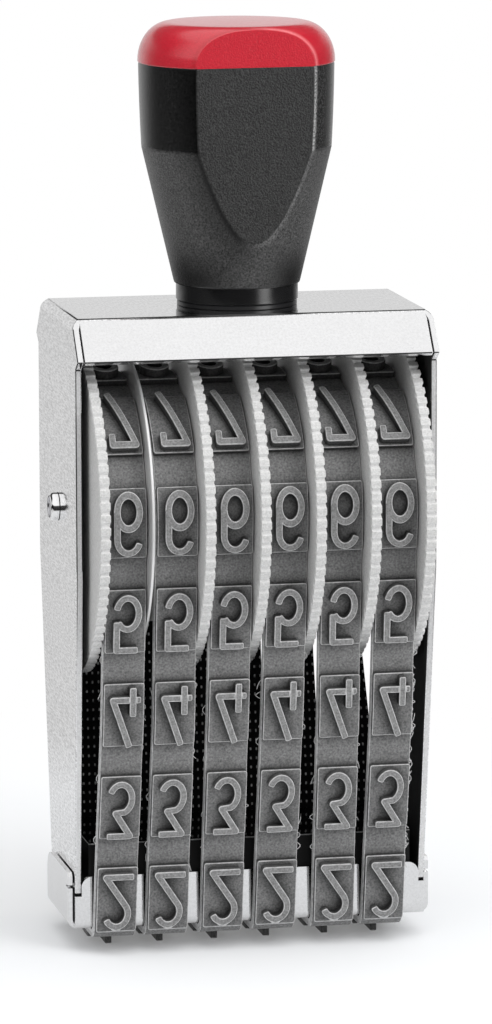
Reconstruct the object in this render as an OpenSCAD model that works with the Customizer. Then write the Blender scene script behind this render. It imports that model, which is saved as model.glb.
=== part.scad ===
// Band numbering stamp: six rubber figure bands, each on its own thumb wheel, in a bent sheet
// frame with a turned handle. X runs across the bands, Y to the rear and Z up. The origin is
// under the middle of the frame, at the level of the figures that print.

/* [Frame] */
// Height of the frame's top face above the printing level
frame_h = 164; // [150:1:200]
// Thickness of the frame sheet
sheet_t = 1.6; // [1.2:0.1:2]
// Half depth of the flat top, out to the corner of each hood
top_half_depth = 22; // [19:0.5:24]
// How far each hood reaches out beyond the flat top
hood_reach = 8.6; // [6:0.2:12]
// How far each hood drops below the flat top
hood_drop = 10; // [7:0.5:13]
// Outside bend radius of the hoods
hood_bend_r = 2.2; // [1.8:0.1:3]
// Outside bend radius between the top and the sides
side_bend_r = 2.7; // [2.2:0.1:4]
// Drop from the hoods' lower edge to the upright edges of the side plates
lip_drop = 2.2; // [1:0.1:4]
// Half depth of the side plates where their edges are upright
plate_half_depth = 27.3; // [22:0.5:30]
// Half depth of the side plates at their lower end
plate_end_half_depth = 17; // [10:0.5:17.5]
// Height where the side plates start to narrow and to lean inward
taper_z = 98.3; // [80:1:125]
// How far each side plate leans inward at its lower end
plate_lean = 0.8; // [0:0.1:1.2]
// Play between a hood's end and the side plate
hood_seam = 0.15; // [0.05:0.05:0.4]

/* [Handle] */
// Sideways offset of the handle from the middle of the frame
handle_offset = 0.4; // [-1:0.1:1]
// Turn of the handle's flats about its own axis, in degrees
handle_turn = 2.8; // [-10:0.1:10]
// Neck radius
neck_r = 15.6; // [14:0.1:17]
// Neck height, base ring included
neck_h = 6; // [4:0.5:10]
// Height of the base ring
base_ring_h = 1.3; // [1:0.1:2]
// How far the grip's cone stands out over the neck
cone_lip = 0.5; // [0:0.1:2]
// Radius at the upper end of the cone
cone_top_r = 24.3; // [22:0.1:26]
// Height of the cone
cone_h = 34.7; // [28:0.5:42]
// How much the grip widens from the cone up to the cap's seam
grip_flare = 0.7; // [0:0.1:2]
// Height of the grip between the cone and the cap
grip_h = 21.3; // [16:0.5:26]
// How far the cap stands proud of the grip
cap_proud = 0.15; // [0:0.05:0.4]
// Height of the cap
cap_h = 10.4; // [8:0.2:14]
// Depth of the grip's flats at the cap's seam
flat_depth = 5.15; // [2:0.05:6]
// Inward lean of the flats toward the neck, in degrees
flat_lean = 1.27; // [0:0.05:3]

/* [Handle screw] */
// Radius of the handle screw
screw_r = 3; // [2:0.25:4]
// Length of the handle screw above the frame's top face
screw_reach = 26; // [15:1:35]
// Radius of the screw's head
screw_head_r = 6; // [4.5:0.25:7]
// Height of the screw's head
screw_head_h = 3.6; // [2:0.2:4]
// Radius of the washer under the head
washer_r = 9; // [7:0.5:11]
// Thickness of that washer
washer_t = 1.2; // [0.8:0.1:1.5]

/* [Wheels] */
// Radius of the drum that carries a band
drum_r = 30.2; // [26:0.2:36]
// Height of the toothed rim above the drum
rim_h = 12.5; // [9:0.1:14]
// Thickness of the toothed rim
rim_t = 2.6; // [2:0.1:3.2]
// Number of teeth on a rim
teeth = 84; // [60:2:96]
// Depth of the teeth
tooth_h = 0.8; // [0.4:0.1:2.4]
// Wall of the drum
drum_wall = 2.4; // [1.6:0.1:4]
// Radius of the hub
hub_r = 7.5; // [6:0.25:10]
// Number of ribs between hub and drum
ribs = 6; // [3:1:10]
// Thickness of a rib
rib_t = 1.8; // [1.2:0.1:2.5]
// How far the hub stands proud of the rim's outer face
hub_proud = 0.4; // [0.2:0.05:1]
// How far the hub stands proud of the drum's open end
hub_tail = 0.1; // [0.1:0.05:0.5]
// Play between neighbouring hubs
thrust_gap = 0.1; // [0.05:0.05:0.3]
// Room between the rims' teeth and the head of the handle screw
head_room = 1.8; // [0.5:0.1:8]

/* [Axle] */
// Radius of the axle
axle_r = 3; // [2:0.1:4]
// Radial play on the axle
running_gap = 0.05; // [0.02:0.01:0.1]
// Wall of the caps on the axle's ends
axle_cap_wall = 0.6; // [0.4:0.05:3]
// How far the caps stand out of the side plates
axle_cap_h = 2.2; // [1.8:0.1:4]
// How far the axle enters each cap
axle_cap_grip = 1.4; // [0.8:0.1:1.6]
// Radius of the washers between the outer wheels and the side plates
side_washer_r = 7; // [5:0.5:10]
// Thickness of those washers
side_washer_t = 1.4; // [0.8:0.1:3]
// Height of the separating disc above the drums
disc_h = 9.1; // [6:0.1:12]
// Thickness of the separating disc
disc_t = 0.7; // [0.5:0.1:1]
// Radius of the disc's hub
disc_hub_r = 6; // [4.5:0.25:8]
// Length of the disc's hub
disc_hub_w = 1.2; // [0.8:0.1:2]

/* [Bands] */
// Width of a band
band_w = 10.8; // [9:0.1:13]
// Play between a band and the rim beside it
band_side_gap = 0.15; // [0.1:0.05:0.4]
// Radial play between a band and its drum, and between a band and the bridge
band_gap = 0.3; // [0.2:0.05:0.5]
// Thickness of the woven carrier
fabric_t = 0.9; // [0.6:0.1:1.2]
// Thickness of the rubber layer on the carrier
rubber_t = 1.2; // [0.8:0.1:2]
// Height of the pads above the rubber layer
pad_h = 1.5; // [1:0.1:2]
// Height of the figures above their pads
figure_h = 2.3; // [1.5:0.1:3]
// Length of a pad along the band
pad_l = 16.6; // [15.6:0.1:18]
// Inset of a pad from the band's edges
pad_inset = 0.2; // [0:0.05:0.6]
// Length of a figure along the band
figure_l = 14.75; // [12:0.05:15.6]
// Width of a figure
figure_w = 7.8; // [6:0.1:9]
// Width of a figure's stroke
stroke = 1.9; // [1.2:0.1:2.2]
// Distance of the printing figure's middle in front of the axle
print_offset = 1.1; // [-2:0.1:2]

/* [Bridge] */
// Half depth of the bridge that the bands turn around
bridge_half_depth = 17.9; // [16:0.1:20]
// Sheet thickness of the bridge
bridge_t = 1.2; // [1:0.1:1.4]
// Bend radius of the bridge's lower edges
bridge_bend_r = 2.2; // [1.8:0.1:3]
// Height of the bridge's walls above its underside
bridge_wall_h = 13.8; // [10:0.2:18]
// Height of the ears above the walls
ear_rise = 0.6; // [0:0.1:2]
// How far the ears stand back from the walls
ear_setback = 2.5; // [2.5:0.1:6]
// Bend radius between the floor and the ears
ear_bend_r = 2.2; // [1.8:0.1:3]
// Length of the slit in the ears' edges
ear_slit_l = 3; // [1:0.5:5]
// Height of that slit
ear_slit_h = 0.8; // [0.5:0.1:1.2]
// Drop from the ears' upper edge to the slit
ear_slit_drop = 3.2; // [2:0.1:5]
// Height of the shoulders under the side plates, above the bridge's underside
bridge_shoulder_h = 8.7; // [6:0.1:9]
// Inset of the bridge's walls above the shoulders, from the side plates' outer face
bridge_inset = 2.4; // [2:0.1:4]
// Radius of the walls' upper corners
wall_corner_r = 2.8; // [1:0.1:3.5]
// Radius of the ears' upper corners
ear_corner_r = 5; // [2:0.5:7]
// Play between an ear and the side plate
ear_gap = 0.3; // [0.05:0.05:0.6]
// Play between the shoulders and the lower end of the side plates
shoulder_gap = 0.6; // [0.1:0.1:1]
// Play between the printing block and the bridge's walls
block_gap = 0.1; // [0.05:0.05:0.3]
// Height of the printing block
block_h = 20.9; // [16:0.1:24]
// Play between the printing block's ends and the side plates
block_end_gap = 2; // [1:0.5:5]

/* [Hidden] */
$fn = 96;
cut = 1;                  // how far a cutter runs past what it cuts
sink = 0.002;             // how far a straight side lies inside the arcs that it meets
metal = [0.80, 0.80, 0.81];
steel = [0.66, 0.66, 0.68];
dark_rubber = [0.36, 0.36, 0.37];

// Wheels along the axle: the rim of wheel 1 is on its left, the others have theirs on the right
wheel_count = 6;
drum_w = band_w + band_side_gap;
wheel_w = rim_t + drum_w;
hub_w = hub_proud + wheel_w + hub_tail;
wheel_pitch = hub_w + thrust_gap;
disc_w = disc_t + disc_hub_w;
stack_half = (wheel_count * wheel_pitch + disc_w) / 2;
inner_half = stack_half + thrust_gap + side_washer_t;
outer_half = inner_half + sheet_t;
rim_tip_r = drum_r + rim_h;
disc_r = drum_r + disc_h;
screw_seat = frame_h - sheet_t - washer_t;
axle_z = screw_seat - screw_head_h - head_room - rim_tip_r;
bore_r = axle_r + running_gap;
axle_cap_r = bore_r + axle_cap_wall;
screw_hole_r = screw_r + running_gap;

// Outer face of the rim of wheel i, and the side that its drum lies on
function rim_face(i) =
    i == 1 ? hub_proud - stack_half : stack_half - hub_proud - (wheel_count - i) * wheel_pitch;
function drum_side(i) = i == 1 ? 1 : -1;
disc_x = wheel_pitch - stack_half;

// Band path: a drum arc, two straight runs and two corners around the bridge, in (Y, Z).
// Distances along it are taken on the middle of the carrier, from the lowest point forward.
wrap_r = drum_r + band_gap;
turn_r = bridge_bend_r + band_gap;
band_t = fabric_t + rubber_t;
band_floor = band_t + pad_h + figure_h;
turn_y = bridge_half_depth - bridge_bend_r;
turn_z = band_floor + turn_r;
neutral = fabric_t / 2;
centres = norm([turn_y, axle_z - turn_z]);
run_lean = acos((turn_r - wrap_r) / centres) - atan2(axle_z - turn_z, -turn_y);
run_l = sqrt(pow(centres, 2) - pow(wrap_r - turn_r, 2));
turn_l = (turn_r + neutral) * (90 - run_lean) * PI / 180;
half_wrap_l = (wrap_r + neutral) * (90 + run_lean) * PI / 180;
half_loop = turn_y + turn_l + run_l + half_wrap_l;
places = 14;
place_pitch = 2 * half_loop / places;

// [y, z, direction of the outward normal] at distance s along the front half of the path
function front_at(s) =
    s < turn_y ? [-s, band_floor, -90] :
    s < turn_y + turn_l ?
        let (a = -90 - (s - turn_y) / (turn_r + neutral) * 180 / PI)
        [-turn_y + turn_r * cos(a), turn_z + turn_r * sin(a), a] :
    s < turn_y + turn_l + run_l ?
        let (a = run_lean - 180, d = s - turn_y - turn_l)
        [-turn_y + turn_r * cos(a) + d * sin(a), turn_z + turn_r * sin(a) - d * cos(a), a] :
    let (a = run_lean - 180 - (s - turn_y - turn_l - run_l) / (wrap_r + neutral) * 180 / PI)
    [wrap_r * cos(a), axle_z + wrap_r * sin(a), a];

function wrapped(s) = s > half_loop ? s - 2 * half_loop : s;

// The same for any distance; a negative one lies on the rear half
function band_at(s) =
    let (w = wrapped(s), p = front_at(abs(w)))
    w < 0 ? [-p[0], p[1], 180 - p[2]] : p;

function place_s(k) = print_offset + k * place_pitch;

// Figures are drawn on a grid of half widths and half heights, upright; order along the band
// is 1 to 9, 0, then a dash, a stop, a stroke and a blank pad
gx = (figure_w - stroke) / 2;
gy = (figure_l - stroke) / 2;

// Bridge and printing block
bridge_z = band_floor + band_gap;
bridge_top = bridge_z + bridge_wall_h;
shoulder_z = bridge_z + bridge_shoulder_h;
plate_end_z = shoulder_z + shoulder_gap;
lean_rate = plate_lean / (taper_z - plate_end_z);
function plate_half(z) = outer_half - lean_rate * max(0, taper_z - z);
ear_half_depth = bridge_half_depth - ear_setback;
ear_top = bridge_top + ear_rise;
ear_inner = plate_half(ear_top) + ear_gap;
ear_outer = ear_inner + bridge_t;
block_half = inner_half - plate_lean - block_end_gap;
block_half_depth = bridge_half_depth - bridge_t - block_gap;

// Hood angle below the level, and length of its slope
hood_a = atan2(hood_drop, hood_reach);
hood_l = norm([hood_reach, hood_drop]);

// Handle levels
cone_low_r = neck_r + cone_lip;
grip_top_r = cone_top_r + grip_flare;
flat_distance = grip_top_r - flat_depth;
neck_top = frame_h + neck_h;
cone_top = neck_top + cone_h;
seam_z = cone_top + grip_h;
cap_top = seam_z + cap_h;
handle_h = cap_top - frame_h;

// Lays an outline drawn in (Y, Z) across X, centred on x
module across(x, w) {
    translate([x - w / 2, 0, 0]) rotate([90, 0, 90]) linear_extrude(w) children();
}

// Turns a shape about +Z so that it lies along +X
module along_x(x) {
    translate([x, 0, axle_z]) rotate([0, 90, 0]) children();
}

// ---- Frame ----

// Upside-down U of the frame in (X, Z), d inside its outer face
module frame_section(d) {
    r = side_bend_r - d;
    w = outer_half - d;
    top = frame_h - d;
    low = plate_end_z - (d > 0 ? cut : 0);
    polygon([
        [-w + plate_lean, low], [-w, taper_z], [-w, top - r], [-w + r, top],
        [w - r, top], [w, top - r], [w, taper_z], [w - plate_lean, low]
    ]);
    for (side = [-1, 1]) translate([side * (w - r), top - r]) circle(r);
}

// Half of the hood's outline in (Y, Z), d inside its outer face
module hood_half(d) {
    r = hood_bend_r - d;
    y = top_half_depth - d * tan(hood_a / 2);
    z = frame_h - d;
    tangent = r * tan(hood_a / 2);
    far = hood_l + cut;
    polygon([
        [0, z - far * sin(hood_a)], [y + far * cos(hood_a), z - far * sin(hood_a)],
        [y + tangent * cos(hood_a), z - tangent * sin(hood_a)], [y - tangent, z], [0, z]
    ]);
    translate([y - tangent, z - r]) circle(r);
}

// Strip of sheet that forms the flat top and one hood, cut square at the hood's lower edge
module hood_strip() {
    difference() {
        hood_half(0);
        hood_half(sheet_t);
        translate([top_half_depth, frame_h]) rotate(-hood_a) translate([hood_l, -hood_l]) square(2 * hood_l);
        translate([-hood_bend_r - cut, 0]) square([hood_bend_r + cut, frame_h + cut]);
    }
}

// Side of the frame in (Y, Z), half of it
module plate_half_outline() {
    tip_y = top_half_depth + hood_reach;
    tip_z = frame_h - hood_drop;
    polygon([
        [0, plate_end_z], [plate_end_half_depth, plate_end_z], [plate_half_depth, taper_z],
        [plate_half_depth, tip_z - lip_drop], [tip_y, tip_z], [0, tip_z]
    ]);
    intersection() {
        hood_half(0);
        translate([0, tip_z]) square([tip_y, hood_drop]);
    }
}

module mirrored_y() {
    children();
    mirror([1, 0]) children();
}

module frame() {
    color(metal) difference() {
        union() {
            intersection() {
                rotate([90, 0, 0]) translate([0, 0, -hood_l - top_half_depth])
                    linear_extrude(2 * (hood_l + top_half_depth)) difference() {
                        frame_section(0);
                        frame_section(sheet_t);
                    }
                across(0, 2 * outer_half + cut) mirrored_y() plate_half_outline();
            }
            across(0, 2 * (inner_half - hood_seam)) mirrored_y() hood_strip();
        }
        along_x(-outer_half - cut) cylinder(r = bore_r, h = 2 * (outer_half + cut));
        translate([handle_offset, 0, frame_h - sheet_t - cut])
            cylinder(r = screw_hole_r, h = sheet_t + 2 * cut);
    }
}

// ---- Handle ----

// Cuts the two flats of the grip off its children
module with_flats() {
    difference() {
        children();
        translate([handle_offset, 0, seam_z]) for (side = [0, 180]) rotate([0, 0, handle_turn + side])
            rotate([-flat_lean, 0, 0]) translate([-flat_distance * 2, flat_distance, -handle_h])
                cube([flat_distance * 4, grip_top_r, 2 * handle_h]);
    }
}

module handle_body() {
    color([0.13, 0.13, 0.14]) with_flats() translate([handle_offset, 0, 0]) difference() {
        rotate_extrude() polygon([
            [0, frame_h + base_ring_h], [neck_r, frame_h + base_ring_h], [neck_r, neck_top - cone_lip],
            [cone_low_r, neck_top], [cone_top_r, cone_top],
            [cone_top_r + 0.65 * grip_flare, cone_top + grip_h / 2], [grip_top_r, seam_z], [0, seam_z]
        ]);
        translate([0, 0, frame_h]) cylinder(r = screw_hole_r, h = screw_reach + cut);
    }
}

// Cap: a shallow cylinder whose edge rolls over in an elliptical arc to a slightly domed top
module handle_cap() {
    r = grip_top_r + cap_proud;
    roll_w = 8;
    roll_h = cap_h - 0.6;
    dome = 0.2;
    steps = 10;
    arc = [for (i = [0:steps]) let (a = 90 * i / steps)
        [r - roll_w + roll_w * cos(a), cap_top - dome - roll_h + roll_h * sin(a)]];
    color([0.78, 0.12, 0.16]) with_flats() translate([handle_offset, 0, 0])
        rotate_extrude() polygon(concat([[0, seam_z], [r, seam_z]], arc, [[0, cap_top]]));
}

module handle_base_ring() {
    color([0.10, 0.10, 0.11]) translate([handle_offset, 0, frame_h]) difference() {
        cylinder(r = neck_r - cone_lip / 2, h = base_ring_h);
        translate([0, 0, -cut]) cylinder(r = screw_hole_r, h = base_ring_h + 2 * cut);
    }
}

module handle_washer() {
    color(steel) translate([handle_offset, 0, screw_seat]) difference() {
        cylinder(r = washer_r, h = washer_t);
        translate([0, 0, -cut]) cylinder(r = screw_hole_r, h = washer_t + 2 * cut);
    }
}

module handle_screw() {
    slot_w = 1.4;
    slot_h = screw_head_h / 3;
    slot_l = 2 * (screw_head_r + cut);
    color(steel) translate([handle_offset, 0, screw_seat]) {
        cylinder(r = screw_r, h = screw_reach + sheet_t + washer_t);
        translate([0, 0, -screw_head_h]) difference() {
            cylinder(r = screw_head_r, h = screw_head_h);
            translate([-slot_l / 2, -slot_w / 2, -cut]) cube([slot_l, slot_w, slot_h + cut]);
        }
    }
}

// ---- Axle ----

module axle() {
    end = outer_half + axle_cap_grip;
    color(steel) along_x(-end) cylinder(r = axle_r, h = 2 * end);
}

module axle_caps() {
    color(metal) for (side = [0, 1]) mirror([side, 0, 0]) along_x(outer_half) difference() {
        cylinder(r = axle_cap_r, h = axle_cap_h);
        translate([0, 0, -cut]) cylinder(r = bore_r, h = axle_cap_grip + cut);
    }
}

module axle_washers() {
    color(steel) for (side = [0, 1]) mirror([side, 0, 0]) along_x(inner_half - side_washer_t) difference() {
        cylinder(r = side_washer_r, h = side_washer_t);
        translate([0, 0, -cut]) cylinder(r = bore_r, h = side_washer_t + 2 * cut);
    }
}

module separator_disc() {
    color(metal) along_x(disc_x) difference() {
        union() {
            cylinder(r = disc_r, h = disc_t, $fn = 180);
            cylinder(r = disc_hub_r, h = disc_w);
        }
        translate([0, 0, -cut]) cylinder(r = bore_r, h = disc_w + 2 * cut);
    }
}

// ---- Wheels ----

// Toothed outline of a rim: low broad teeth with narrow valleys
module rim_outline() {
    step = 360 / teeth;
    root_r = rim_tip_r - tooth_h;
    root_half = 0.42 * step;
    tip_half = 0.28 * step;
    polygon([for (i = [0:teeth - 1]) each [
        root_r * [cos(i * step - root_half), sin(i * step - root_half)],
        rim_tip_r * [cos(i * step - tip_half), sin(i * step - tip_half)],
        rim_tip_r * [cos(i * step + tip_half), sin(i * step + tip_half)],
        root_r * [cos(i * step + root_half), sin(i * step + root_half)]
    ]]);
}

// A wheel with its rim's outer face on Z = 0 and its drum above
module wheel_shape() {
    difference() {
        union() {
            linear_extrude(rim_t) rim_outline();
            difference() {
                cylinder(r = drum_r, h = wheel_w, $fn = 180);
                translate([0, 0, rim_t]) cylinder(r = drum_r - drum_wall, h = drum_w + cut, $fn = 180);
            }
            for (i = [0:ribs - 1]) rotate(i * 360 / ribs)
                translate([0, -rib_t / 2, 0]) cube([drum_r - drum_wall / 2, rib_t, wheel_w - drum_wall]);
            translate([0, 0, -hub_proud]) cylinder(r = hub_r, h = hub_w);
        }
        translate([0, 0, -hub_proud - cut]) cylinder(r = bore_r, h = hub_w + 2 * cut);
    }
}

module number_wheel(i) {
    color([0.86, 0.86, 0.85]) translate([rim_face(i), 0, axle_z])
        rotate([0, drum_side(i) * 90, 0]) wheel_shape();
}

// ---- Bands ----

// Convex outline of the band's loop in (Y, Z), d outside its inner face
module loop_outline(d) {
    n = [cos(run_lean), -sin(run_lean)];
    top = [0, axle_z] + (wrap_r + d - sink) * n;
    low = [turn_y, turn_z] + (turn_r + d - sink) * n;
    floor_z = band_floor - d + sink;
    polygon([
        top, low, [turn_y, floor_z], [-turn_y, floor_z], [-low[0], low[1]], [-top[0], top[1]]
    ]);
    translate([0, axle_z]) circle(wrap_r + d, $fn = 180);
    for (side = [-1, 1]) translate([side * turn_y, turn_z]) circle(turn_r + d);
}

// Outline in (Y, Z) that holds the stretch of the band between two distances
module stretch(s1, s2) {
    a = band_at(s1);
    b = band_at(s2);
    reach = 3 * (pad_h + figure_h);
    na = [cos(a[2]), sin(a[2])];
    nb = [cos(b[2]), sin(b[2])];
    polygon([
        [a[0], a[1]] - turn_r / 3 * na, [a[0], a[1]] + reach * na,
        [b[0], b[1]] + reach * nb, [b[0], b[1]] - turn_r / 3 * nb
    ]);
}

function unit(v) = v / norm(v);
function left_of(v) = [-v[1], v[0]];
// Corner i of a stroke's edge, w to the left of its middle line
function edge_at(path, i, w, closed) =
    let (
        last = len(path) - 1,
        before = i > 0 ? path[i - 1] : closed ? path[last] : 2 * path[0] - path[1],
        after = i < last ? path[i + 1] : closed ? path[0] : 2 * path[last] - path[last - 1],
        a = left_of(unit(path[i] - before)),
        b = left_of(unit(after - path[i]))
    )
    path[i] + w * (a + b) / (1 + a * b);

function edge(path, w, closed = false) = [for (i = [0:len(path) - 1]) edge_at(path, i, w, closed)];
function reversed(list) = [for (i = [len(list) - 1:-1:0]) list[i]];

// Open stroke along a path
module line(path) {
    polygon(concat(edge(path, stroke / 2), reversed(edge(path, -stroke / 2))));
}

// Closed stroke around a path
module ring(path) {
    difference() {
        polygon(edge(path, -stroke / 2, true));
        polygon(edge(path, stroke / 2, true));
    }
}

// Bowl between two heights, drawn anticlockwise with cut corners
function bowl(low, high, c = 1.6) = [
    [gx - c, low], [gx, low + c], [gx, high - c], [gx - c, high],
    [-gx + c, high], [-gx, high - c], [-gx, low + c], [-gx + c, low]
];

module figure(k) {
    c = 1.6;
    hook = 2.6;
    waist = 0.8;
    if (k == 0) {
        line([[0, -gy - stroke / 2], [0, gy + stroke / 2]]);
        line([[-0.6, gy - 0.6], [-gx + 0.4, gy - 3.4]]);
    }
    if (k == 1) line([[gx + stroke / 2, -gy], [-gx + 0.5, -gy], [gx, 2.2], [gx, gy - c], [gx - c, gy],
        [-gx + c, gy], [-gx, gy - c], [-gx, gy - hook]]);
    if (k == 2) line([[-gx - stroke / 2, gy], [gx - 0.3, gy], [-0.6, waist], [gx - c, waist], [gx, waist - c],
        [gx, -gy + c], [gx - c, -gy], [-gx + c, -gy], [-gx, -gy + c]]);
    if (k == 3) {
        line([[0.4, gy + stroke / 2], [-gx, -hook], [gx + stroke / 2, -hook]]);
        line([[1.4, 0.6], [1.4, -gy - stroke / 2]]);
    }
    if (k == 4) line([[gx + stroke / 2, gy], [-gx + 0.4, gy], [-gx + 0.4, 1.4], [gx - c, 1.4], [gx, 1.4 - c],
        [gx, -gy + c], [gx - c, -gy], [-gx + c, -gy], [-gx, -gy + c]]);
    if (k == 5) {
        ring(bowl(-gy, waist));
        line([[-gx, -gy + 2], [-gx, gy - c], [-gx + c, gy], [gx - c, gy], [gx, gy - c]]);
    }
    if (k == 6) line([[-gx, gy - hook], [-gx, gy], [gx, gy], [-gx + 1, -gy - stroke / 2]]);
    if (k == 7) {
        ring(bowl(-gy, waist));
        ring(bowl(waist, gy));
    }
    if (k == 8) {
        ring(bowl(-waist, gy));
        line([[gx, gy - 2], [gx, -gy + c], [gx - c, -gy], [-gx + c, -gy], [-gx, -gy + c]]);
    }
    if (k == 9) ring(bowl(-gy, gy));
    if (k == 10) line([[-gx, 0], [gx, 0]]);
    if (k == 11) line([[0, -gy], [0, -gy + stroke]]);
    if (k == 12) line([[-gx, -gy], [gx, gy]]);
}

// Band centred on x = 0: its loop, the pads and the raised figures that read backward
module band_shape() {
    across(0, band_w) difference() {
        loop_outline(band_t);
        loop_outline(0);
    }
    across(0, band_w - 2 * pad_inset) intersection() {
        difference() {
            loop_outline(band_t + pad_h);
            loop_outline(band_t / 2);
        }
        for (k = [0:places - 1]) stretch(place_s(k) - pad_l / 2, place_s(k) + pad_l / 2);
    }
    intersection() {
        for (k = [0:places - 1]) let (p = band_at(place_s(k)))
            translate([0, p[0], p[1]]) rotate([p[2] - 90, 0, 0])
                translate([0, 0, band_t]) linear_extrude(2 * (pad_h + figure_h)) mirror([0, 1]) figure(k);
        across(0, band_w) loop_outline(band_t + pad_h + figure_h);
    }
}

function band_x(i) = rim_face(i) + drum_side(i) * (rim_t + band_side_gap + band_w / 2);

module number_band(i) {
    color(dark_rubber) translate([band_x(i), 0, 0]) band_shape();
}

// ---- Bridge ----

// Cross-section of the tray in (Y, Z), d inside its outer face
module tray_outline(d) {
    r = bridge_bend_r - d;
    y = bridge_half_depth - d;
    polygon([
        [-y, bridge_top + d], [-y, bridge_z + d + r], [-y + r, bridge_z + d],
        [y - r, bridge_z + d], [y, bridge_z + d + r], [y, bridge_top + d]
    ]);
    for (side = [-1, 1]) translate([side * (y - r), bridge_z + d + r]) circle(r);
}

// Front view of the walls in (X, Z): shoulders under the side plates, rounded upper corners
module wall_outline() {
    end = ear_inner - ear_gap;
    w = outer_half - bridge_inset;
    r = wall_corner_r;
    polygon([
        [-end, bridge_z], [end, bridge_z], [end, shoulder_z], [w, shoulder_z],
        [w, bridge_top - r], [w - r, bridge_top], [-w + r, bridge_top], [-w, bridge_top - r],
        [-w, shoulder_z], [-end, shoulder_z]
    ]);
    for (side = [-1, 1]) translate([side * (w - r), bridge_top - r]) circle(r);
}

// Floor and ears in (X, Z), d inside their outer face
module ear_section(d) {
    r = ear_bend_r - d;
    w = ear_outer - d;
    low = bridge_z + d;
    top = ear_top + d;
    polygon([[-w, top], [-w, low + r], [-w + r, low], [w - r, low], [w, low + r], [w, top]]);
    for (side = [-1, 1]) translate([side * (w - r), low + r]) circle(r);
}

// Ear in (Y, Z): rounded rear corner and a slit in the front edge
module ear_outline() {
    y = ear_half_depth;
    r = ear_corner_r;
    low = bridge_z - cut;
    difference() {
        union() {
            polygon([
                [-y, low], [y, low], [y, ear_top - r], [y - r, ear_top], [-y + 1, ear_top], [-y, ear_top - 1]
            ]);
            translate([y - r, ear_top - r]) circle(r);
        }
        translate([-y - cut, ear_top - ear_slit_drop - ear_slit_h]) square([ear_slit_l + cut, ear_slit_h]);
    }
}

module bridge() {
    color(metal) {
        intersection() {
            across(0, 2 * ear_inner) difference() {
                tray_outline(0);
                tray_outline(bridge_t);
            }
            translate([0, bridge_half_depth + cut, 0]) rotate([90, 0, 0])
                linear_extrude(2 * (bridge_half_depth + cut)) wall_outline();
        }
        intersection() {
            translate([0, ear_half_depth + cut, 0]) rotate([90, 0, 0])
                linear_extrude(2 * (ear_half_depth + cut)) difference() {
                    ear_section(0);
                    ear_section(bridge_t);
                }
            across(0, 2 * (ear_outer + cut)) ear_outline();
        }
    }
}

module printing_block() {
    y = block_half_depth;
    floor_z = bridge_z + bridge_t;
    chamfer = bridge_bend_r;
    color([0.05, 0.05, 0.05]) across(0, 2 * block_half) polygon([
        [-y + chamfer, floor_z], [y - chamfer, floor_z], [y, floor_z + chamfer], [y, floor_z + block_h],
        [-y, floor_z + block_h], [-y, floor_z + chamfer]
    ]);
}

frame();
handle_body();
handle_cap();
handle_base_ring();
handle_screw();
handle_washer();
axle();
axle_caps();
axle_washers();
separator_disc();
number_wheel(1);  // number_wheel_1
number_wheel(2);  // number_wheel_2
number_wheel(3);  // number_wheel_3
number_wheel(4);  // number_wheel_4
number_wheel(5);  // number_wheel_5
number_wheel(6);  // number_wheel_6
number_band(1);  // number_band_1
number_band(2);  // number_band_2
number_band(3);  // number_band_3
number_band(4);  // number_band_4
number_band(5);  // number_band_5
number_band(6);  // number_band_6
bridge();
printing_block();
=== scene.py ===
import math
import random

import bmesh
import bpy
from mathutils import Matrix, Vector


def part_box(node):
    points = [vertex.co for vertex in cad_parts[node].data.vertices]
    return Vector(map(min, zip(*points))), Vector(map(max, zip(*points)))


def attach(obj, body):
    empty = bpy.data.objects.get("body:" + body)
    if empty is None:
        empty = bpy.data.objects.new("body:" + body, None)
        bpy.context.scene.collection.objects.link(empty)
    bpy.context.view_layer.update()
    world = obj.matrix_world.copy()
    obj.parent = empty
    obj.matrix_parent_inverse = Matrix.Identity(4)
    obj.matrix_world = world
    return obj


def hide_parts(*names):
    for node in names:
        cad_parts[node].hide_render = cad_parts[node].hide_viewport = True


# Band numbering stamp: sizes below are millimetres and degrees, meshes are scaled to metres at the end
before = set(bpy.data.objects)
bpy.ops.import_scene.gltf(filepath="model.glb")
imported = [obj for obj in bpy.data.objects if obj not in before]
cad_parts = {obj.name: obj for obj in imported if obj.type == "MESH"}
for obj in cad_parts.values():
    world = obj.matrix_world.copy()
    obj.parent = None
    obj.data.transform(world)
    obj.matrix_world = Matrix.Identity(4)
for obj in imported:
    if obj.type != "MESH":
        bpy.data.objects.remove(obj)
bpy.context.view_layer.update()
mm = 0.001
print("frame loaded with", len(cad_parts), "nodes")


def boxMm(node):
    low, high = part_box(node)
    return low / mm, high / mm


def sizeMm(node, axis):
    low, high = boxMm(node)
    return high[axis] - low[axis]


def middleMm(node, axis):
    low, high = boxMm(node)
    return (high[axis] + low[axis]) / 2


cameraView = {
    "azimuth": -11.6,
    "elevation": 9.16,
    "roll": -0.15,
    "distance": 1600,
    "aim": (2.63, 0, 109.9),
    "lens": 218.77,
    "sensor": 36,
    "clip": (0.05, 20),  # metres
}


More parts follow.
